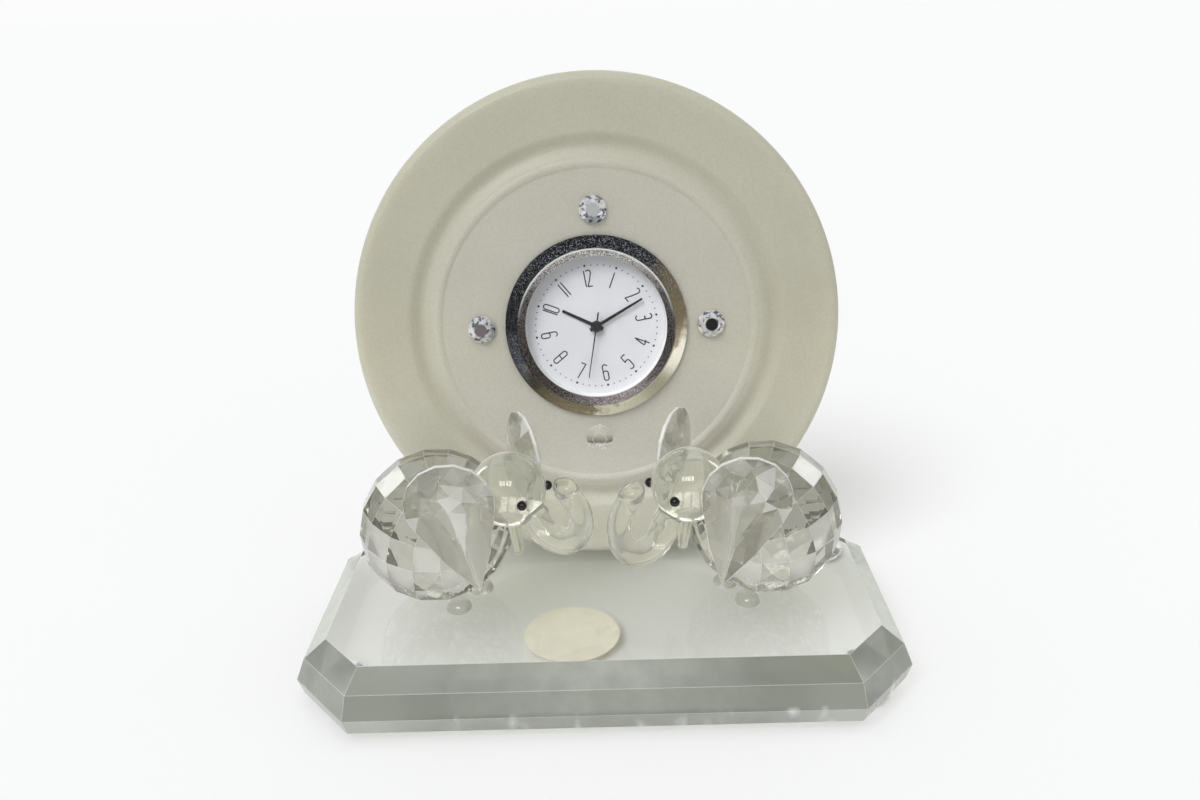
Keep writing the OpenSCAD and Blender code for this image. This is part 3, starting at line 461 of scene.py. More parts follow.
# %% Ears with a ground edge
ear_flare = math.radians(34)
ear_back, ear_out, ear_up = -4.4, head_radius + 4.52, 1.4
edge_blur = 0.08
for side in ("left", "right"):
    for ear, out, ground_edge in (("near", -1, 0.42), ("far", 1, 0.3)):
        middle = on_elephant(side, [ear_back, out * ear_out, ear_up])
        beside = on_elephant(side, [ear_back + math.sin(ear_flare),
                                    out * (ear_out + math.cos(ear_flare)), ear_up])
        ear_glass, tree, shader = glass_finish(side + " " + ear + " ear, cut lead crystal", 1.54,
                                               "#C4C4BA", 14, "#F6F7F4", 0.01)
        depth = add(tree, "VectorMath", operation="DOT_PRODUCT", i0=place_from(tree, middle),
                    i1=beside - middle)
        distance = add(tree, "Math", operation="ABSOLUTE", i0=depth)
        ground = add(tree, "MapRange", Value=distance, From_Min=ground_edge * MM,
                     From_Max=(ground_edge - edge_blur) * MM)
        # Painted highlights besides the ground edge: white facet edges and light facets.
        edges = facet_edges(tree, 0.13, 0.998, 0.99)
        white = add(tree, "Math", operation="MAXIMUM", i0=ground, i1=edges)
        white = add(tree, "Math", operation="MAXIMUM", i0=white, i1=facet_light(tree, 0.7))
        matt_where(tree, shader, white, 0.9, "#E0DFD6")
        wear(ear_glass, side + "_" + ear + "_ear")
print("ears", 4)

# %% [markdown]
# Head, neck, lower jaw and trunk were worked from one rod in a flame, so no seam shows between
# them. Each is a round body along a path that lies in the elephant's middle plane: a ring of
# points for each point of the path. The four closed bodies overlap. A Remesh modifier melts
# them into one skin, and a Smooth modifier rounds the corners where they meet, as the flame does.
# The two trunks curl a little differently, as hand work does, so each side has its own numbers.

# %% Round bodies and the trunk
def round_body(path, radii, sides=40, along=None):
    """Rings round a path of points ahead and up. A ring's plane is square to the path, or to
    the direction given for it, and its own two directions are the elephant's left and that
    direction turned a quarter."""
    path, radii = np.asarray(path, float), np.asarray(radii, float)
    along = np.gradient(path, axis=0) if along is None else along
    along = along / np.linalg.norm(along, axis=1, keepdims=True)
    angle = 2 * np.pi * np.arange(sides) / sides
    sideways, upwards = radii[:, None] * np.cos(angle), radii[:, None] * np.sin(angle)
    points = np.stack([path[:, None, 0] - along[:, None, 1] * upwards, sideways,
                       path[:, None, 1] + along[:, None, 0] * upwards], -1).reshape(-1, 3)
    faces = grid_faces(len(path), sides)[:, ::-1].tolist()
    last = (len(path) - 1) * sides
    return points, faces + [list(range(sides)), list(range(last + sides - 1, last - 1, -1))]


def heading_to(angle):
    """The direction, ahead and up, at an angle above straight ahead."""
    return np.stack([np.cos(angle), np.sin(angle)], -1)


curl_start, curl_end = math.radians(-172), math.radians(50)
lip_rises_to, lip_looks_to, lip_step = math.radians(92), math.radians(68), 0.2
root_radius, tube_radius, throat_radius, lip_radius = 2.6, 2.65, 2.1, 2.65
mouth_depths = np.array([0.0, 0.25, 0.7, 1.3, 1.8, 2.0])
mouth_radii = [2.3, 2.05, 1.85, 1.6, 1.2, 0.6]
root_rings, curl_rings, lip_rings = 8, 84, 12


def trunk_of(middle, reach, drop):
    """A trunk: a straight root inside the head, a curl along an ellipse with its middle in front
    of the head, a lip that bends upwards and opens, and a mouth that runs back into the tube.
    The lip's rings lean forward more than the tube does, so the mouth looks up and ahead."""
    angle = np.linspace(curl_start, curl_end, curl_rings)
    curl = middle + np.stack([reach * np.cos(angle), drop * np.sin(angle)], -1)
    tangent = np.stack([-reach * np.sin(angle), drop * np.cos(angle)], -1)
    root = curl[0] * np.linspace(0.5, 0.93, root_rings)[:, None]
    lip_start = math.atan2(tangent[-1, 1], tangent[-1, 0])
    lip_path = lip_step * heading_to(np.linspace(lip_start, lip_rises_to, lip_rings))
    lip = curl[-1] + np.cumsum(lip_path, axis=0)
    lip_facing = heading_to(np.linspace(lip_start, lip_looks_to, lip_rings))
    mouth = lip[-1] - mouth_depths[:, None] * lip_facing[-1]
    radii = np.concatenate([np.full(root_rings, root_radius),
                            np.linspace(tube_radius, throat_radius, curl_rings),
                            np.linspace(throat_radius, lip_radius, lip_rings), mouth_radii])
    along = np.concatenate([np.repeat(tangent[:1], root_rings, axis=0), tangent, lip_facing,
                            np.repeat(lip_facing[-1:], len(mouth_radii), axis=0)])
    return round_body(np.concatenate([root, curl, lip, mouth]), radii, along=along)


trunks = {"left": trunk_of(np.array([10.4, -2.4]), 5.1, 5.5),
          "right": trunk_of(np.array([9.9, -4.7]), 5.1, 6.5)}
print("points of each trunk", len(trunks["left"][0]))

# %% [markdown]
# The other three bodies are plainer. The head is a ball: rings whose radius is the sine of an
# angle that runs from pole to pole. The neck is a straight rod back into the body. The lower jaw
# hangs down from the head, a little forward, and tapers by one millimetre on its way.

# %% Heads, melted into one skin
neck_length, neck_radius = 8.3, 3.0
jaw_length, jaw_radius, jaw_lean, jaw_ahead = 13.3, 1.9, math.radians(5), 0.1
pole = np.linspace(0.02, np.pi - 0.02, 48)
ball = round_body(np.stack([-head_radius * np.cos(pole), 0 * pole], -1), head_radius * np.sin(pole), 64)
neck_out = np.linspace(-neck_length, 0, 12)
neck = round_body(neck_out[:, None] * [math.cos(neck_rise), math.sin(neck_rise)], np.full(12, neck_radius))
jaw_down = np.linspace(0, jaw_length, 20)
jaw = round_body(np.stack([jaw_ahead + jaw_down * math.sin(jaw_lean), -jaw_down * math.cos(jaw_lean)], -1),
                 jaw_radius - jaw_down / jaw_length)
for side in ("left", "right"):
    points, faces = [], []
    for some_points, some_faces in (ball, neck, jaw, trunks[side]):
        start = sum(len(p) for p in points)
        points.append(on_elephant(side, some_points))
        faces += [[start + i for i in (face if side == "left" else face[::-1])] for face in some_faces]
    head = piece_from(side + "_head_and_trunk", np.concatenate(points), faces, "stand", blown_glass, True)
    melt = head.modifiers.new("melt", "REMESH")
    melt.mode, melt.voxel_size, melt.use_smooth_shade = "VOXEL", 0.25 * MM, True
    soften = head.modifiers.new("soften", "SMOOTH")
    soften.factor, soften.iterations = 0.5, 12
    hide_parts(side + "_head", side + "_trunk")
    print(side, "head and trunk, faces before melting", len(faces))

# %% [markdown]
# The disc is frosted: its surface was blasted or etched until it scatters all light, so it
# looks like grey green satin and hides what is behind it. Some light wanders inside it, which is
# the subsurface share. The flat field in the middle is a little paler and less yellow than the
# rim. The foot is painted paler than the top: a painted light that stands for the light it
# gathers from the base. The grain of the etching is far finer than the picture can show, so it
# is drawn at a third of a millimetre.

# %% Frosted glass
disc_radius = 50


def from_axis(tree):
    """The nodes of a point's place from the disc's centre, and of its distance from the axis:
    the length of the place crossed with the axis."""
    centred = place_from(tree, disc_centre)
    across = add(tree, "VectorMath", operation="CROSS_PRODUCT", i0=centred, i1=out_of_disc)
    return centred, add(tree, "VectorMath", operation="LENGTH", i0=across)


def height_on_disc(tree, centred, reach):
    """A share from 0 to 1, from reach millimetres below the disc's centre to as far above it."""
    height = add(tree, "VectorMath", operation="DOT_PRODUCT", i0=centred, i1=up_disc)
    return add(tree, "MapRange", Value=height, From_Min=-reach * MM, From_Max=reach * MM)


frosted, tree, shader = new_finish("etched satin glass", Roughness=0.5, IOR=1.5, Transmission_Weight=0.12,
                                  Subsurface_Weight=0.5, Subsurface_Radius=(1.0, 1.0, 0.9),
                                  Subsurface_Scale=5 * MM)
centred, radius = from_axis(tree)
radius_share = add(tree, "Math", operation="DIVIDE", i0=radius, i1=disc_radius * MM)
tone = add(tree, "ValToRGB", Fac=radius_share, stops=[
    (0.0, "#F4F1ED"), (0.62, "#F2EFE9"), (0.72, "#EBE8DC"), (0.9, "#EAE7DA"), (1.0, "#EDEADE")])
cloud = add(tree, "ValToRGB", Fac=noise(tree, 14, Detail=4.0), stops=[(0.3, "#E8E8E4"), (0.7, "#FFFFFF")])
tone = add(tree, "MixRGB", blend_type="MULTIPLY", Fac=0.25, Color1=tone, Color2=cloud)
# Painted light: the foot of the disc is paler than the top.
painted_light_on_foot = add(tree, "ValToRGB", Fac=height_on_disc(tree, centred, disc_radius), stops=[
    (0.1, "#FFFFFF"), (0.45, "#E7E7DB"), (0.6, "#DEDED5"), (1.0, "#DCDCD3")])
tone = add(tree, "MixRGB", blend_type="MULTIPLY", Fac=1.0, Color1=tone, Color2=painted_light_on_foot)
speck = add(tree, "ValToRGB", Fac=noise(tree, 0.45, Detail=1.0), stops=[(0.35, "#F8F8F7"), (0.62, "#FFFFFF")])
tone = add(tree, "MixRGB", blend_type="MULTIPLY", Fac=1.0, Color1=tone, Color2=speck)
grain = add(tree, "Bump", Height=noise(tree, 0.33, Detail=2.0), Strength=0.12, Distance=0.05 * MM)
fill(tree, shader, Base_Color=tone, Normal=grain)
light_shadow(tree, shader, "#A9A89C")
wear(frosted, "frosted_disc")
print("disc nodes", len(tree.nodes))

# %% [markdown]
# The bezel is brass that was turned, polished and chrome plated. Its outer slope is a mirror
# that has worn unevenly: full of tiny pits at the upper left, rubbed down at the lower right.
# Its colour is partly tarnish and wear and partly a painted reflection: dark at the upper left,
# a warm, brassy sheen at the lower right. Two things tell these areas apart: the radius from the
# disc's axis, and how far a point lies along the line from the upper left to the lower right.
# Bright specks are painted highlights, mostly at the top, where the rims of the pits catch the
# light.

# %% Worn chrome with a painted reflection, the outer slope
chrome, tree, shader = new_finish("worn chrome plate", Metallic=1.0)
centred, radius = from_axis(tree)
wear_and_reflection_angle, wear_and_reflection_from, wear_and_reflection_to = math.radians(-50), -18, 22
wear_and_reflection_way = math.cos(wear_and_reflection_angle) * np.array([1, 0, 0]) + math.sin(wear_and_reflection_angle) * up_disc
along = add(tree, "VectorMath", operation="DOT_PRODUCT", i0=centred, i1=wear_and_reflection_way)
wear_and_reflection_share = add(tree, "MapRange", Value=along, From_Min=wear_and_reflection_from * MM, From_Max=wear_and_reflection_to * MM)
pits = noise(tree, 0.25, Detail=3.0, Roughness=0.7)
wander = add(tree, "Math", operation="MULTIPLY_ADD", i0=noise(tree, 3.5, Detail=4.0), i1=0.3, i2=wear_and_reflection_share)
# Painted reflection, partly tarnish: dark at the upper left, warm and bright at the lower right.
tarnish_and_painted_reflection = add(tree, "ValToRGB", Fac=wander, stops=[
    (0.2, "#23262E"), (0.5, "#3F4148"), (0.62, "#8F8772"), (0.9, "#AA9D83"), (0.95, "#FFFBEA")])
dark_pits = add(tree, "ValToRGB", Fac=pits, stops=[(0.35, "#8C8F98"), (0.5, "#FFFFFF")])
pit_share = add(tree, "MapRange", Value=wear_and_reflection_share, To_Min=0.8, To_Max=0.15)
mirror = add(tree, "MixRGB", blend_type="MULTIPLY", Fac=pit_share, Color1=tarnish_and_painted_reflection, Color2=dark_pits)
# Painted highlights on the pits, strongest at the top.
painted_pit_highlights = add(tree, "ValToRGB", Fac=pits, stops=[(0.52, "#000000"), (0.62, "#D8DCE4")])
bezel_height = height_on_disc(tree, centred, 16)
painted_highlight_share = add(tree, "MapRange", Value=bezel_height, From_Min=0.5, From_Max=0.9, To_Min=0.25)
mirror = add(tree, "MixRGB", blend_type="LIGHTEN", Fac=painted_highlight_share, Color1=mirror, Color2=painted_pit_highlights)
print("worn from", (wear_and_reflection_from * wear_and_reflection_way).round(1), "to", (wear_and_reflection_to * wear_and_reflection_way).round(1))

# %% [markdown]
# The inner slope has lost its polish all round and is a speckled mauve grey. It is painted darker
# low and paler at the top as a painted highlight, and a painted highlight draws the bright ridge
# that parts the two slopes. A material that changes at a radius needs no second piece: a mask
# that is one inside 15.9 millimetres mixes the two slopes. Bump and roughness follow the same
# pits, so the dull slope is also the rough one.

# %% Worn chrome, the inner slope, with painted highlights
inner = add(tree, "MapRange", Value=radius, From_Min=16.0 * MM, From_Max=15.85 * MM)
satin = add(tree, "ValToRGB", Fac=pits, stops=[(0.38, "#575256"), (0.5, "#BEB9B9"), (0.61, "#FFFFFF")])
# Painted light: darker low and white at the top, and below a painted highlight on the ridge.
painted_top_light = add(tree, "ValToRGB", Fac=bezel_height, stops=[(0.0, "#7E7879"), (0.7, "#8C8687"), (0.9, "#FFFFFF")])
satin = add(tree, "MixRGB", blend_type="MULTIPLY", Fac=1.0, Color1=satin, Color2=painted_top_light)
painted_ridge_highlight = add(tree, "MapRange", Value=radius, From_Min=15.45 * MM, From_Max=15.7 * MM)
upper = add(tree, "MapRange", Value=bezel_height, From_Min=0.55, From_Max=0.8)
painted_ridge_highlight = add(tree, "Math", operation="MULTIPLY", i0=painted_ridge_highlight, i1=upper)
satin = add(tree, "MixRGB", Fac=painted_ridge_highlight, Color1=satin, Color2="#FFFFFF")
mirror_rough = add(tree, "MapRange", Value=wear_and_reflection_share, To_Min=0.12, To_Max=0.3)
satin_rough = add(tree, "MapRange", Value=pits, To_Min=0.25, To_Max=0.45)
pit_depth = add(tree, "MapRange", Value=inner, To_Min=0.06, To_Max=0.25)
fill(tree, shader, Base_Color=add(tree, "MixRGB", Fac=inner, Color1=mirror, Color2=satin),
     Roughness=add(tree, "Mix", data_type="FLOAT", i0=inner, i2=mirror_rough, i3=satin_rough),
     Normal=add(tree, "Bump", Height=pits, Distance=0.1 * MM, Strength=pit_depth))
wear(chrome, "bezel", "crown")
print("bezel nodes", len(tree.nodes))

# %% [markdown]
# The remaining finishes are the plain ones of a small quartz clock: white paint on the dial,
# black lacquer on the hands, brass and steel in the movement, moulded plastic, rubber, a green
# board and a winding of copper wire. Each gets two colours that it wanders between, a roughness,
# and a fine unevenness of the size in millimetres that its making leaves. They stand in a table,
# and one loop makes them all. Only the label has more: light comes through its paper.

# %% Plain finishes
def plain_finish(name, dark, light, size_mm, rough, metallic=0.0, bump=0.0):
    """A finish that wanders between two colours in spots of size_mm, with a bump of the same
    grain. The roughness wanders by a fifth to both sides."""
    material, tree, shader = new_finish(name, Metallic=metallic)
    spots = noise(tree, size_mm, Detail=3.0)
    fill(tree, shader, Base_Color=add(tree, "ValToRGB", Fac=spots, stops=[(0.35, dark), (0.65, light)]),
         Roughness=add(tree, "MapRange", Value=spots, To_Min=rough * 0.8, To_Max=rough * 1.2))
    if bump:
        fill(tree, shader, Normal=add(tree, "Bump", Height=spots, Strength=bump, Distance=0.05 * MM))
    return material, tree, shader


for name, dark, light, size_mm, rough, metallic, bump, nodes in (
        # sprayed on: even and matt
        ("matt white dial paint", "#EEEEF4", "#F2F2F8", 6, 0.6, 0, 0, ["dial"]),
        # moulded: a soft sheen that swims a little
        ("moulded white plastic", "#ECECEA", "#F2F2F0", 2, 0.4, 0, 0, ["dial_surround", "movement_ring"]),
        ("moulded cream plastic", "#DAD6C8", "#E4E1D6", 1.5, 0.45, 0, 0, ["intermediate_wheel"]),
        ("moulded dark plastic", "#2C3437", "#384246", 1.5, 0.5, 0, 0, ["main_plate"]),
        # dipped and dried, or melted: a wet shine
        ("black lacquer", "#0C0C0E", "#141416", 1, 0.25, 0, 0, ["hour_hand", "minute_hand", "second_hand"]),
        ("black glass bead", "#050506", "#0B0B0D", 1, 0.03, 0, 0, ["left_eyes", "right_eyes"]),
        # rolled and stamped: a blurred mirror
        ("stamped steel", "#A9ABAC", "#B9BBBC", 3, 0.3, 1, 0.1,
         ["back_cover", "quartz_crystal", "stator", "button_cell", "bridge_screws", "rotor",
          "setting_lever", "setting_stem"]),
        ("plated brass sheet", "#B89A55", "#C7AA66", 3, 0.28, 1, 0, ["case_can", "cell_clip"]),
        ("stamped wheel brass", "#C9A655", "#D8B867", 0.8, 0.3, 1, 0,
         ["train_bridge", "seconds_wheel", "third_wheel", "centre_wheel", "minute_wheel", "hour_wheel"]),
        # pressed in a mould: dull and grainy
        ("ribbed black rubber", "#1B1B1B", "#262626", 1.2, 0.7, 0, 0.3, ["grip_ring"]),
        # woven fibre under green lacquer
        ("green board fibre", "#1F5A39", "#2B6B46", 0.8, 0.5, 0, 0.2, ["circuit_board"]),
        # wound wire: glossy, with the ripple of its turns
        ("enamelled copper wire", "#9A4F26", "#B8683A", 0.3, 0.35, 1, 0.4, ["coil"])):
    finish, tree, shader = plain_finish(name, dark, light, size_mm, rough, metallic, bump)
    wear(finish, *nodes)
    print(name, "on", len(nodes))

label_paper, tree, shader = plain_finish("uncoated cream paper", "#F3EDDD", "#F8F3E6", 2.5, 0.85, bump=0.2)
light_shadow(tree, shader, "#DEDBD2")
wear(label_paper, "base_label")

# %% [markdown]
# Three of the four hour markers are stones with a silver foil behind them. Such a stone sparkles
# in flecks of light and dark, and its flat table, the facet in front, mirrors one thing only: it
# is dark on the right stone, bright on the top one and grey on the left one. So the flecks are a
# noise of painted sparkle, and a disc round the middle of each stone takes a painted reflection,
# the tone of its table.

# %% Foiled stones
marker_out, table_radius, table_blur, table_height = 23.4, 1.3, 0.12, 1.8
foil, tree, shader = new_finish("silver foil behind crystal", Metallic=0.55, Roughness=0.08)
# Painted sparkle in flecks of light and dark.
tone = add(tree, "ValToRGB", Fac=noise(tree, 0.9, Detail=2.0), stops=[
    (0.38, "#70727A"), (0.46, "#DADCE2"), (0.6, "#FFFFFF")])
place = add(tree, "TexCoord").outputs["Object"]
# Painted reflection: the tone that each stone's table mirrors.
for right_of, up_by, painted_table_reflection in ((marker_out, 0, "#2C2A2F"), (0, marker_out, "#D6D6D8"),
                                    (-marker_out, 0, "#8C8488")):
    stone = on_disc([right_of, up_by, table_height])
    apart = add(tree, "VectorMath", operation="DISTANCE", i0=place, i1=stone * MM)
    on_table = add(tree, "MapRange", Value=apart, From_Min=(table_radius + table_blur) * MM,
                   From_Max=(table_radius - table_blur) * MM)
    tone = add(tree, "MixRGB", Fac=on_table, Color1=tone, Color2=painted_table_reflection)
    print("stone at", stone.round(1))
fill(tree, shader, Base_Color=tone)
wear(foil, "foiled_markers")

# %% [markdown]
# The lowest marker is a clear stone without foil, so the frosted disc shows through it. Its cut
# bends a dark band into the lower half, drawn here as a painted shade, and small painted sparks
# lie below that. Both follow from how far a point lies below the middle of the stone, down the
# disc. White painted highlights run along its facet edges.

# %% The clear stone
stone_crystal, tree, shader = glass_finish("clear cut stone", 1.54, "#D8D8CE", 5, "#F6F7F4", 0.01)
low, high = (np.array(corner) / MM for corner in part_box("clear_marker"))
below = add(tree, "VectorMath", operation="DOT_PRODUCT", i0=place_from(tree, (low + high) / 2), i1=-up_disc)
low_side = add(tree, "MapRange", Value=below, From_Min=0.7 * MM, From_Max=1.1 * MM)
# Painted sparks on the lower side, and painted white lines on the facet edges.
painted_spark = add(tree, "MapRange", Value=noise(tree, 0.6, Detail=1.0), From_Min=0.44, From_Max=0.52)
painted_spark = add(tree, "Math", operation="MULTIPLY", i0=painted_spark, i1=low_side)
white = add(tree, "Math", operation="MAXIMUM", i0=facet_edges(tree, 0.2), i1=painted_spark)
matt_where(tree, shader, white, 0.85, "#F0F0EA")
# Painted shade: a dark band across the lower half of the stone.
across_stone = add(tree, "MapRange", Value=below, From_Min=-2 * MM, From_Max=2 * MM)
painted_dark_band = add(tree, "ValToRGB", Fac=across_stone, stops=[
    (0.3, "#F4F4EE"), (0.45, "#D2D1CB"), (0.58, "#C4C3BD"), (0.64, "#77777A"), (0.72, "#F4F4F0")])
fill(tree, shader, Base_Color=add(tree, "MixRGB", Fac=white, Color1=painted_dark_band, Color2="#FFFFFF"))
wear(stone_crystal, "clear_marker")
print("clear stone at", ((low + high) / 2).round(1))

# %% [markdown]
# The dial is printed in black: sixty dots, with larger ones at the hours, and slim numbers
# drawn in hair lines. The print is real ink, so it is made as very thin flat strokes that lie
# on the dial. A number is a list of paths in a box one unit tall and 0.3 wide, with zero in the
# middle. A stroke is a path with a width: each point of the path moves half the width to both
# sides, along the path's normal.

# %% Strokes of ink
ink, _, _ = plain_finish("black printing ink", "#1A1A1E", "#232327", 0.5, 0.6)
dial_front, ink_height = -0.6, 0.015


def stroke(path, width):
    """Left and right edges of a path, each point moved half the width along the normal, which
    is the path's direction turned a quarter turn."""
    along = np.gradient(path, axis=0)
    along /= np.linalg.norm(along, axis=1, keepdims=True)
    normal = np.stack([-along[:, 1], along[:, 0]], -1)
    return np.concatenate([path + normal * width / 2, path - normal * width / 2])


def arc(x, y, width, height, start, end, steps=12):
    """Points of part of an ellipse round x and y, from start to end in degrees."""
    angle = np.radians(np.linspace(start, end, steps))
    return np.stack([x + width * np.cos(angle), y + height * np.sin(angle)], -1)


def line(*points):
    """Points of a broken line, each leg in six steps."""
    points = np.asarray(points, float)
    legs = [a + (b - a) * np.linspace(0, 1, 7)[:, None] for a, b in zip(points[:-1], points[1:])]
    return np.concatenate([legs[0]] + [leg[1:] for leg in legs[1:]])


def joined(*parts):
    """One path from several, end to end."""
    return np.concatenate(parts)


half = 0.15


def upper(start, end):
    """Part of the bowl at the top of a number."""
    return arc(0, 0.36, half, 0.14, start, end)


def lower(start, end):
    """Part of the bowl at its foot."""
    return arc(0, -0.36, half, 0.14, start, end)


print("points of a bowl", len(upper(0, 180)))

# %% The ten figures
DIGITS = {
    "0": [joined(upper(180, 0), lower(0, -180), line((-half, -0.36), (-half, 0.36)))],
    "1": [line((0, 0.5), (0, -0.5))],
    "2": [joined(upper(150, 0), line((half, 0.3), (0.02, -0.1), (-half, -0.5)),
                 line((-half, -0.5), (half, -0.5)))],
    "3": [joined(upper(165, 0), line((half, 0.3), (half, 0.08)),
                 arc(0.02, 0.02, half - 0.02, 0.06, 40, 130, 5)),
          joined(arc(0.02, 0, half - 0.02, 0.06, 120, 0, 5), line((half, -0.05), (half, -0.36)),
                 lower(0, -165))],
    "4": [line((0.08, -0.5), (0.08, 0.5), (-half, -0.22), (half + 0.03, -0.22))],
    "5": [joined(line((half, 0.5), (-half, 0.5), (-half, 0.1)), arc(0, 0, half, 0.14, 150, 0),
                 line((half, -0.05), (half, -0.36)), lower(0, -165))],
    "6": [joined(upper(15, 180), line((-half, 0.3), (-half, -0.36)), lower(180, 360),
                 line((half, -0.3), (half, -0.02)), arc(0, -0.02, half, 0.12, 0, 180))],
    "7": [line((-half, 0.5), (half, 0.5), (-0.05, -0.5))],
    "8": [joined(upper(0, 180), line((-half, 0.3), (-half, -0.36)), lower(180, 360),
                 line((half, -0.3), (half, 0.36))), line((-half, 0.02), (half, 0.02))],
    "9": [joined(lower(195, 360), line((half, -0.3), (half, 0.36)), upper(0, 180),
                 line((-half, 0.3), (-half, 0.06)), arc(0, 0.06, half, 0.12, 180, 360))],
}
print("figures", len(DIGITS))

# %% [markdown]
# Each number stands on a ring round the middle of the dial with its top towards the rim, and
# those from 4 to 8 stand the other way up. All strokes and dots are one mesh, turned with the
# insert and laid a hair above the dial.

# %% Numbers and dots on the dial
number_height, number_radius, hair = 3.3, 9.85, 0.25
wide_step, narrow_step = 0.25, 0.2
dot_ring, hour_dot, minute_dot, dot_corners = 12.45, 0.24, 0.13, 12
points, faces = [], []


def lay(flat, loops):
    """Adds flat points of the dial, right and up, with the faces that use them."""
    start = sum(len(p) for p in points)
    heights = np.full(len(flat), dial_front + ink_height)
    points.append(on_disc(np.column_stack([flat, heights]), insert_turn))
    faces.extend([[start + i for i in loop] for loop in loops])


for hour in range(1, 13):
    angle = math.radians(90 - 30 * hour)
    turn = angle + math.pi / 2 if hour in (4, 5, 6, 7, 8) else angle - math.pi / 2
    across, upright = np.array([math.cos(turn), math.sin(turn)]), np.array([-math.sin(turn), math.cos(turn)])
    middle = number_radius * np.array([math.cos(angle), math.sin(angle)])
    text = str(hour)
    for i, digit in enumerate(text):
        step = (i - (len(text) - 1) / 2) * (narrow_step if hour == 11 else wide_step) * number_height
        for path in DIGITS[digit]:
            edges = stroke(path * number_height + [step, 0], hair)
            count = len(path)
            lay(edges[:, :1] * across + edges[:, 1:] * upright + middle,
                [(k, count + k, count + k + 1, k + 1) for k in range(count - 1)])
for minute in range(60):
    angle = math.radians(6 * minute)
    size = hour_dot if minute % 5 == 0 else minute_dot
    lay(arc(dot_ring * math.cos(angle), dot_ring * math.sin(angle), size, size, 0, 330, dot_corners),
        [tuple(range(dot_corners))])
dial_print = piece_from("dial_print", np.concatenate(points), faces, "insert", ink)
print("print faces", len(dial_print.data.polygons))

# %% [markdown]
# The floor is a plain white sheet that keeps the object's shadow. For rays that go straight
# to the eye, or reach it by a mirror or through glass, a little light of its own is added, so
# that the sheet is as white as the background. In an oval patch under the base there is none of
# that light, which paints a shade there, where the sheet is also in real shadow, and the glass
# above it shows that soft grey. The world is white for the same rays, so no line shows where the
# sheet ends.

# %% Floor
background_white = 0.97
floor_white, room_light, sun_on_floor = 0.8, 0.62, 0.38
# The glow is left out of an oval patch under the base: a painted shade there.
shade_full, shade_end, shade_depth, shade_middle = 31, 68, 1.9, 1.0  # an oval patch under the base
floor_reach = 6000


def seen_rays(tree):
    """One for rays to the camera, in a mirror or through glass, and zero for all others. A ray
    that has left a matt surface gives light instead of an image, so it counts as another."""
    rays = add(tree, "LightPath").outputs
    seen = add(tree, "Math", operation="MAXIMUM", i0=rays["Is Camera Ray"], i1=rays["Is Glossy Ray"])
    seen = add(tree, "Math", operation="MAXIMUM", i0=seen, i1=rays["Is Transmission Ray"])
    image = add(tree, "Math", operation="LESS_THAN", i0=rays["Diffuse Depth"], i1=0.5)
    return add(tree, "Math", operation="MULTIPLY", i0=seen, i1=image)


def square(centre, width, height, turn=Matrix.Identity(3)):
    """The four corners of a flat sheet round a centre, turned from lying flat."""
    corners = ((-1, -1), (1, -1), (1, 1), (-1, 1))
    return [turn @ Vector((x * width / 2, y * height / 2, 0)) + Vector(centre) for x, y in corners]


floor_finish = bpy.data.materials.new("white paper sweep")
tree = empty_tree(floor_finish)
spread = add(tree, "VectorMath", operation="MULTIPLY", i0=place_from(tree, (0, shade_middle, 0)),
             i1=(1.0, shade_depth, 0.0))
from_middle = add(tree, "VectorMath", operation="LENGTH", i0=spread)
open_sheet = add(tree, "MapRange", Value=from_middle, From_Min=shade_full * MM, From_Max=shade_end * MM,
                 interpolation_type="SMOOTHSTEP")
lift = background_white - floor_white * (room_light + sun_on_floor)
glow = add(tree, "Math", operation="MULTIPLY", i0=seen_rays(tree), i1=lift)
glow = add(tree, "Math", operation="MULTIPLY", i0=glow, i1=open_sheet)
paper = add(tree, "BsdfDiffuse", Color=(floor_white, floor_white, floor_white, 1))
light_up = add(tree, "Emission", Color="#FFFFFF", Strength=glow)
add(tree, "OutputMaterial", Surface=add(tree, "AddShader", i0=paper, i1=light_up))
corners = square((0, 0, 0), 2 * floor_reach, 2 * floor_reach)
floor = object_from("floor", corners, [(0, 1, 2, 3)], floor_finish)
print("light added to the sheet", round(lift, 3))

# %% Background
world = bpy.data.worlds.new("studio")
bpy.context.scene.world = world
tree = empty_tree(world)
room = add(tree, "Background", Color=(0.98, 0.99, 1, 1), Strength=room_light)
white = add(tree, "Background", Color="#FFFFFF", Strength=background_white)
add(tree, "OutputWorld", Surface=add(tree, "MixShader", i0=seen_rays(tree), i1=room, i2=white))
print("room light", room_light)

# %% [markdown]
# Glass has no look of its own: it shows the room, bent. In an all-white room it would vanish,
# so a photographer hangs grey cards round the object, out of the picture, and their bent images
# draw the edges and facets. The card above is the darkest, as the bezel's reflection in the
# photograph shows, and the right one is a little warm. Four bright window panes in front, above
# the camera, and a bright strip behind on each side give the sparkle. Cards, panes and strips
# light nothing: only mirrors and glass see them. A soft sun from the upper left gives the shadow.

# %% Cards, panes and strips
def card(name, centre, facing, width, height, tone, brightness):
    """A flat card in millimetres that faces a direction and shows one even tone."""
    finish = bpy.data.materials.new(name)
    tree = empty_tree(finish)
    felt = add(tree, "Emission", Color=tone, Strength=brightness)
    open_air = add(tree, "BsdfTransparent")
    shown = add(tree, "MixShader", i0=seen_rays(tree), i1=open_air, i2=felt)
    add(tree, "OutputMaterial", Surface=shown)
    turn = Vector(facing).to_track_quat("Z", "Y").to_matrix()
    made = object_from(name, square(centre, width, height, turn), [(0, 1, 2, 3)], finish)
    made.visible_camera = made.visible_diffuse = made.visible_shadow = False
    return made


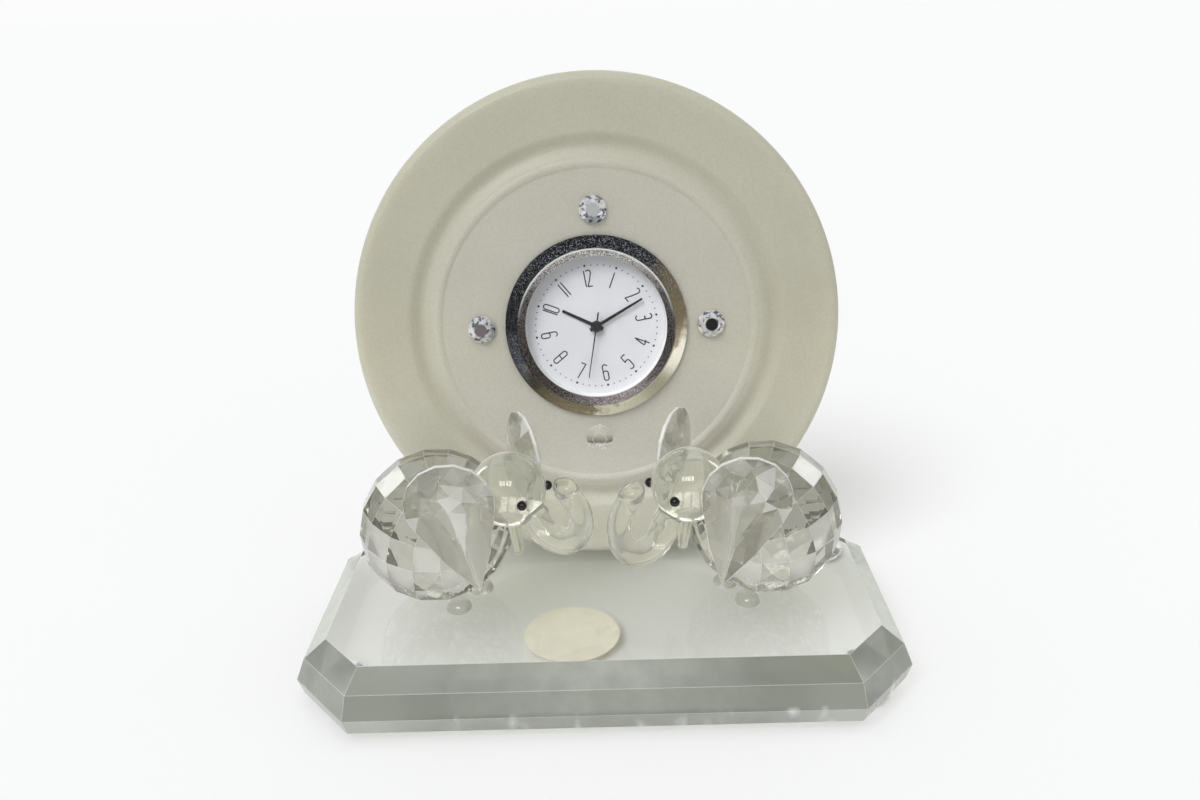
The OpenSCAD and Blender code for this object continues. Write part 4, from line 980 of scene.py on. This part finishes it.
felt_light, strip_light, pane_light = 0.9, 7, 11
card("card_left", (-380, -100, 200), (1, 0, 0), 900, 420, "#A9ABA6", felt_light)
card("card_right", (380, -100, 200), (-1, 0, 0), 900, 420, "#BDB9AE", felt_light)
card("card_front", (0, -480, 200), (0, 1, 0), 800, 420, "#B0B1AB", felt_light)
card("card_above", (0, -140, 420), (0, 0, -1), 800, 700, "#A5A7A6", felt_light)
for side, hand in (("left", -1), ("right", 1)):
    card("strip_behind_" + side, (hand * 330, 230, 150), (-hand * 330, -230, -110), 60, 220,
         "#FFFFFF", strip_light)
pane_width, pane_height, pane_step = 62, 140, 78
for i in range(4):
    card("window_pane_" + str(i + 1), (-35 + (i - 1.5) * pane_step, -330, 385), (35, 310, -345),
         pane_width, pane_height, "#FFFFFF", pane_light)
print("cards, strips and panes", 4 + 2 + 4)

# %% The soft sun
sun = bpy.data.lights.new("sun", "SUN")
sun_from = Vector((-0.40, -0.42, 0.82)).normalized()
sun.angle = math.radians(28)
sun.energy = sun_on_floor * math.pi / sun_from.z
sun_object = bpy.data.objects.new("sun", sun)
sun_object.matrix_world = sun_from.to_track_quat("Z", "Y").to_matrix().to_4x4()
bpy.context.scene.collection.objects.link(sun_object)
print("sun", round(sun.energy, 2))

# %% [markdown]
# The camera stands where the photographer's did: its place, its tilt and its lens were worked
# out from the corners of the base and the outline of the disc. The picture was taken from
# close by and from above, so the base looks wide in front. The lens is found as a length in
# pixels of a picture 1200 wide and 800 high, with the place where it looks straight ahead.

# %% Camera
picture_width, picture_height, sensor_width = 1200, 800, 36
camera_place = np.array([3.576, -159.541, 123.803])
look_down, look_left, roll = math.radians(24.525), math.radians(0.309), math.radians(-1.655)
focal_pixels, centre_x, centre_y = 906.52, 611.47, 402.47
right = np.array([math.cos(look_left), math.sin(look_left), 0])
ahead = np.array([-math.sin(look_left), math.cos(look_left), 0])
forward = math.cos(look_down) * ahead - math.sin(look_down) * np.array([0, 0, 1])
upward = math.sin(look_down) * ahead + math.cos(look_down) * np.array([0, 0, 1])
side = math.cos(roll) * right + math.sin(roll) * upward
top = math.cos(roll) * upward - math.sin(roll) * right
lens_data = bpy.data.cameras.new("camera")
lens_data.sensor_width = sensor_width
lens_data.lens = focal_pixels / picture_width * sensor_width
lens_data.shift_x = -(centre_x - picture_width / 2) / picture_width
lens_data.shift_y = (centre_y - picture_height / 2) / picture_width
lens_data.clip_start = 0.01
camera = bpy.data.objects.new("camera", lens_data)
turned = Matrix(np.column_stack([side, top, -forward]).tolist()).to_4x4()
camera.matrix_world = Matrix.Translation(Vector(camera_place * MM)) @ turned
bpy.context.scene.collection.objects.link(camera)
bpy.context.scene.camera = camera
bpy.context.scene.view_settings.view_transform = "Standard"
print("lens", round(lens_data.lens, 2), "mm")
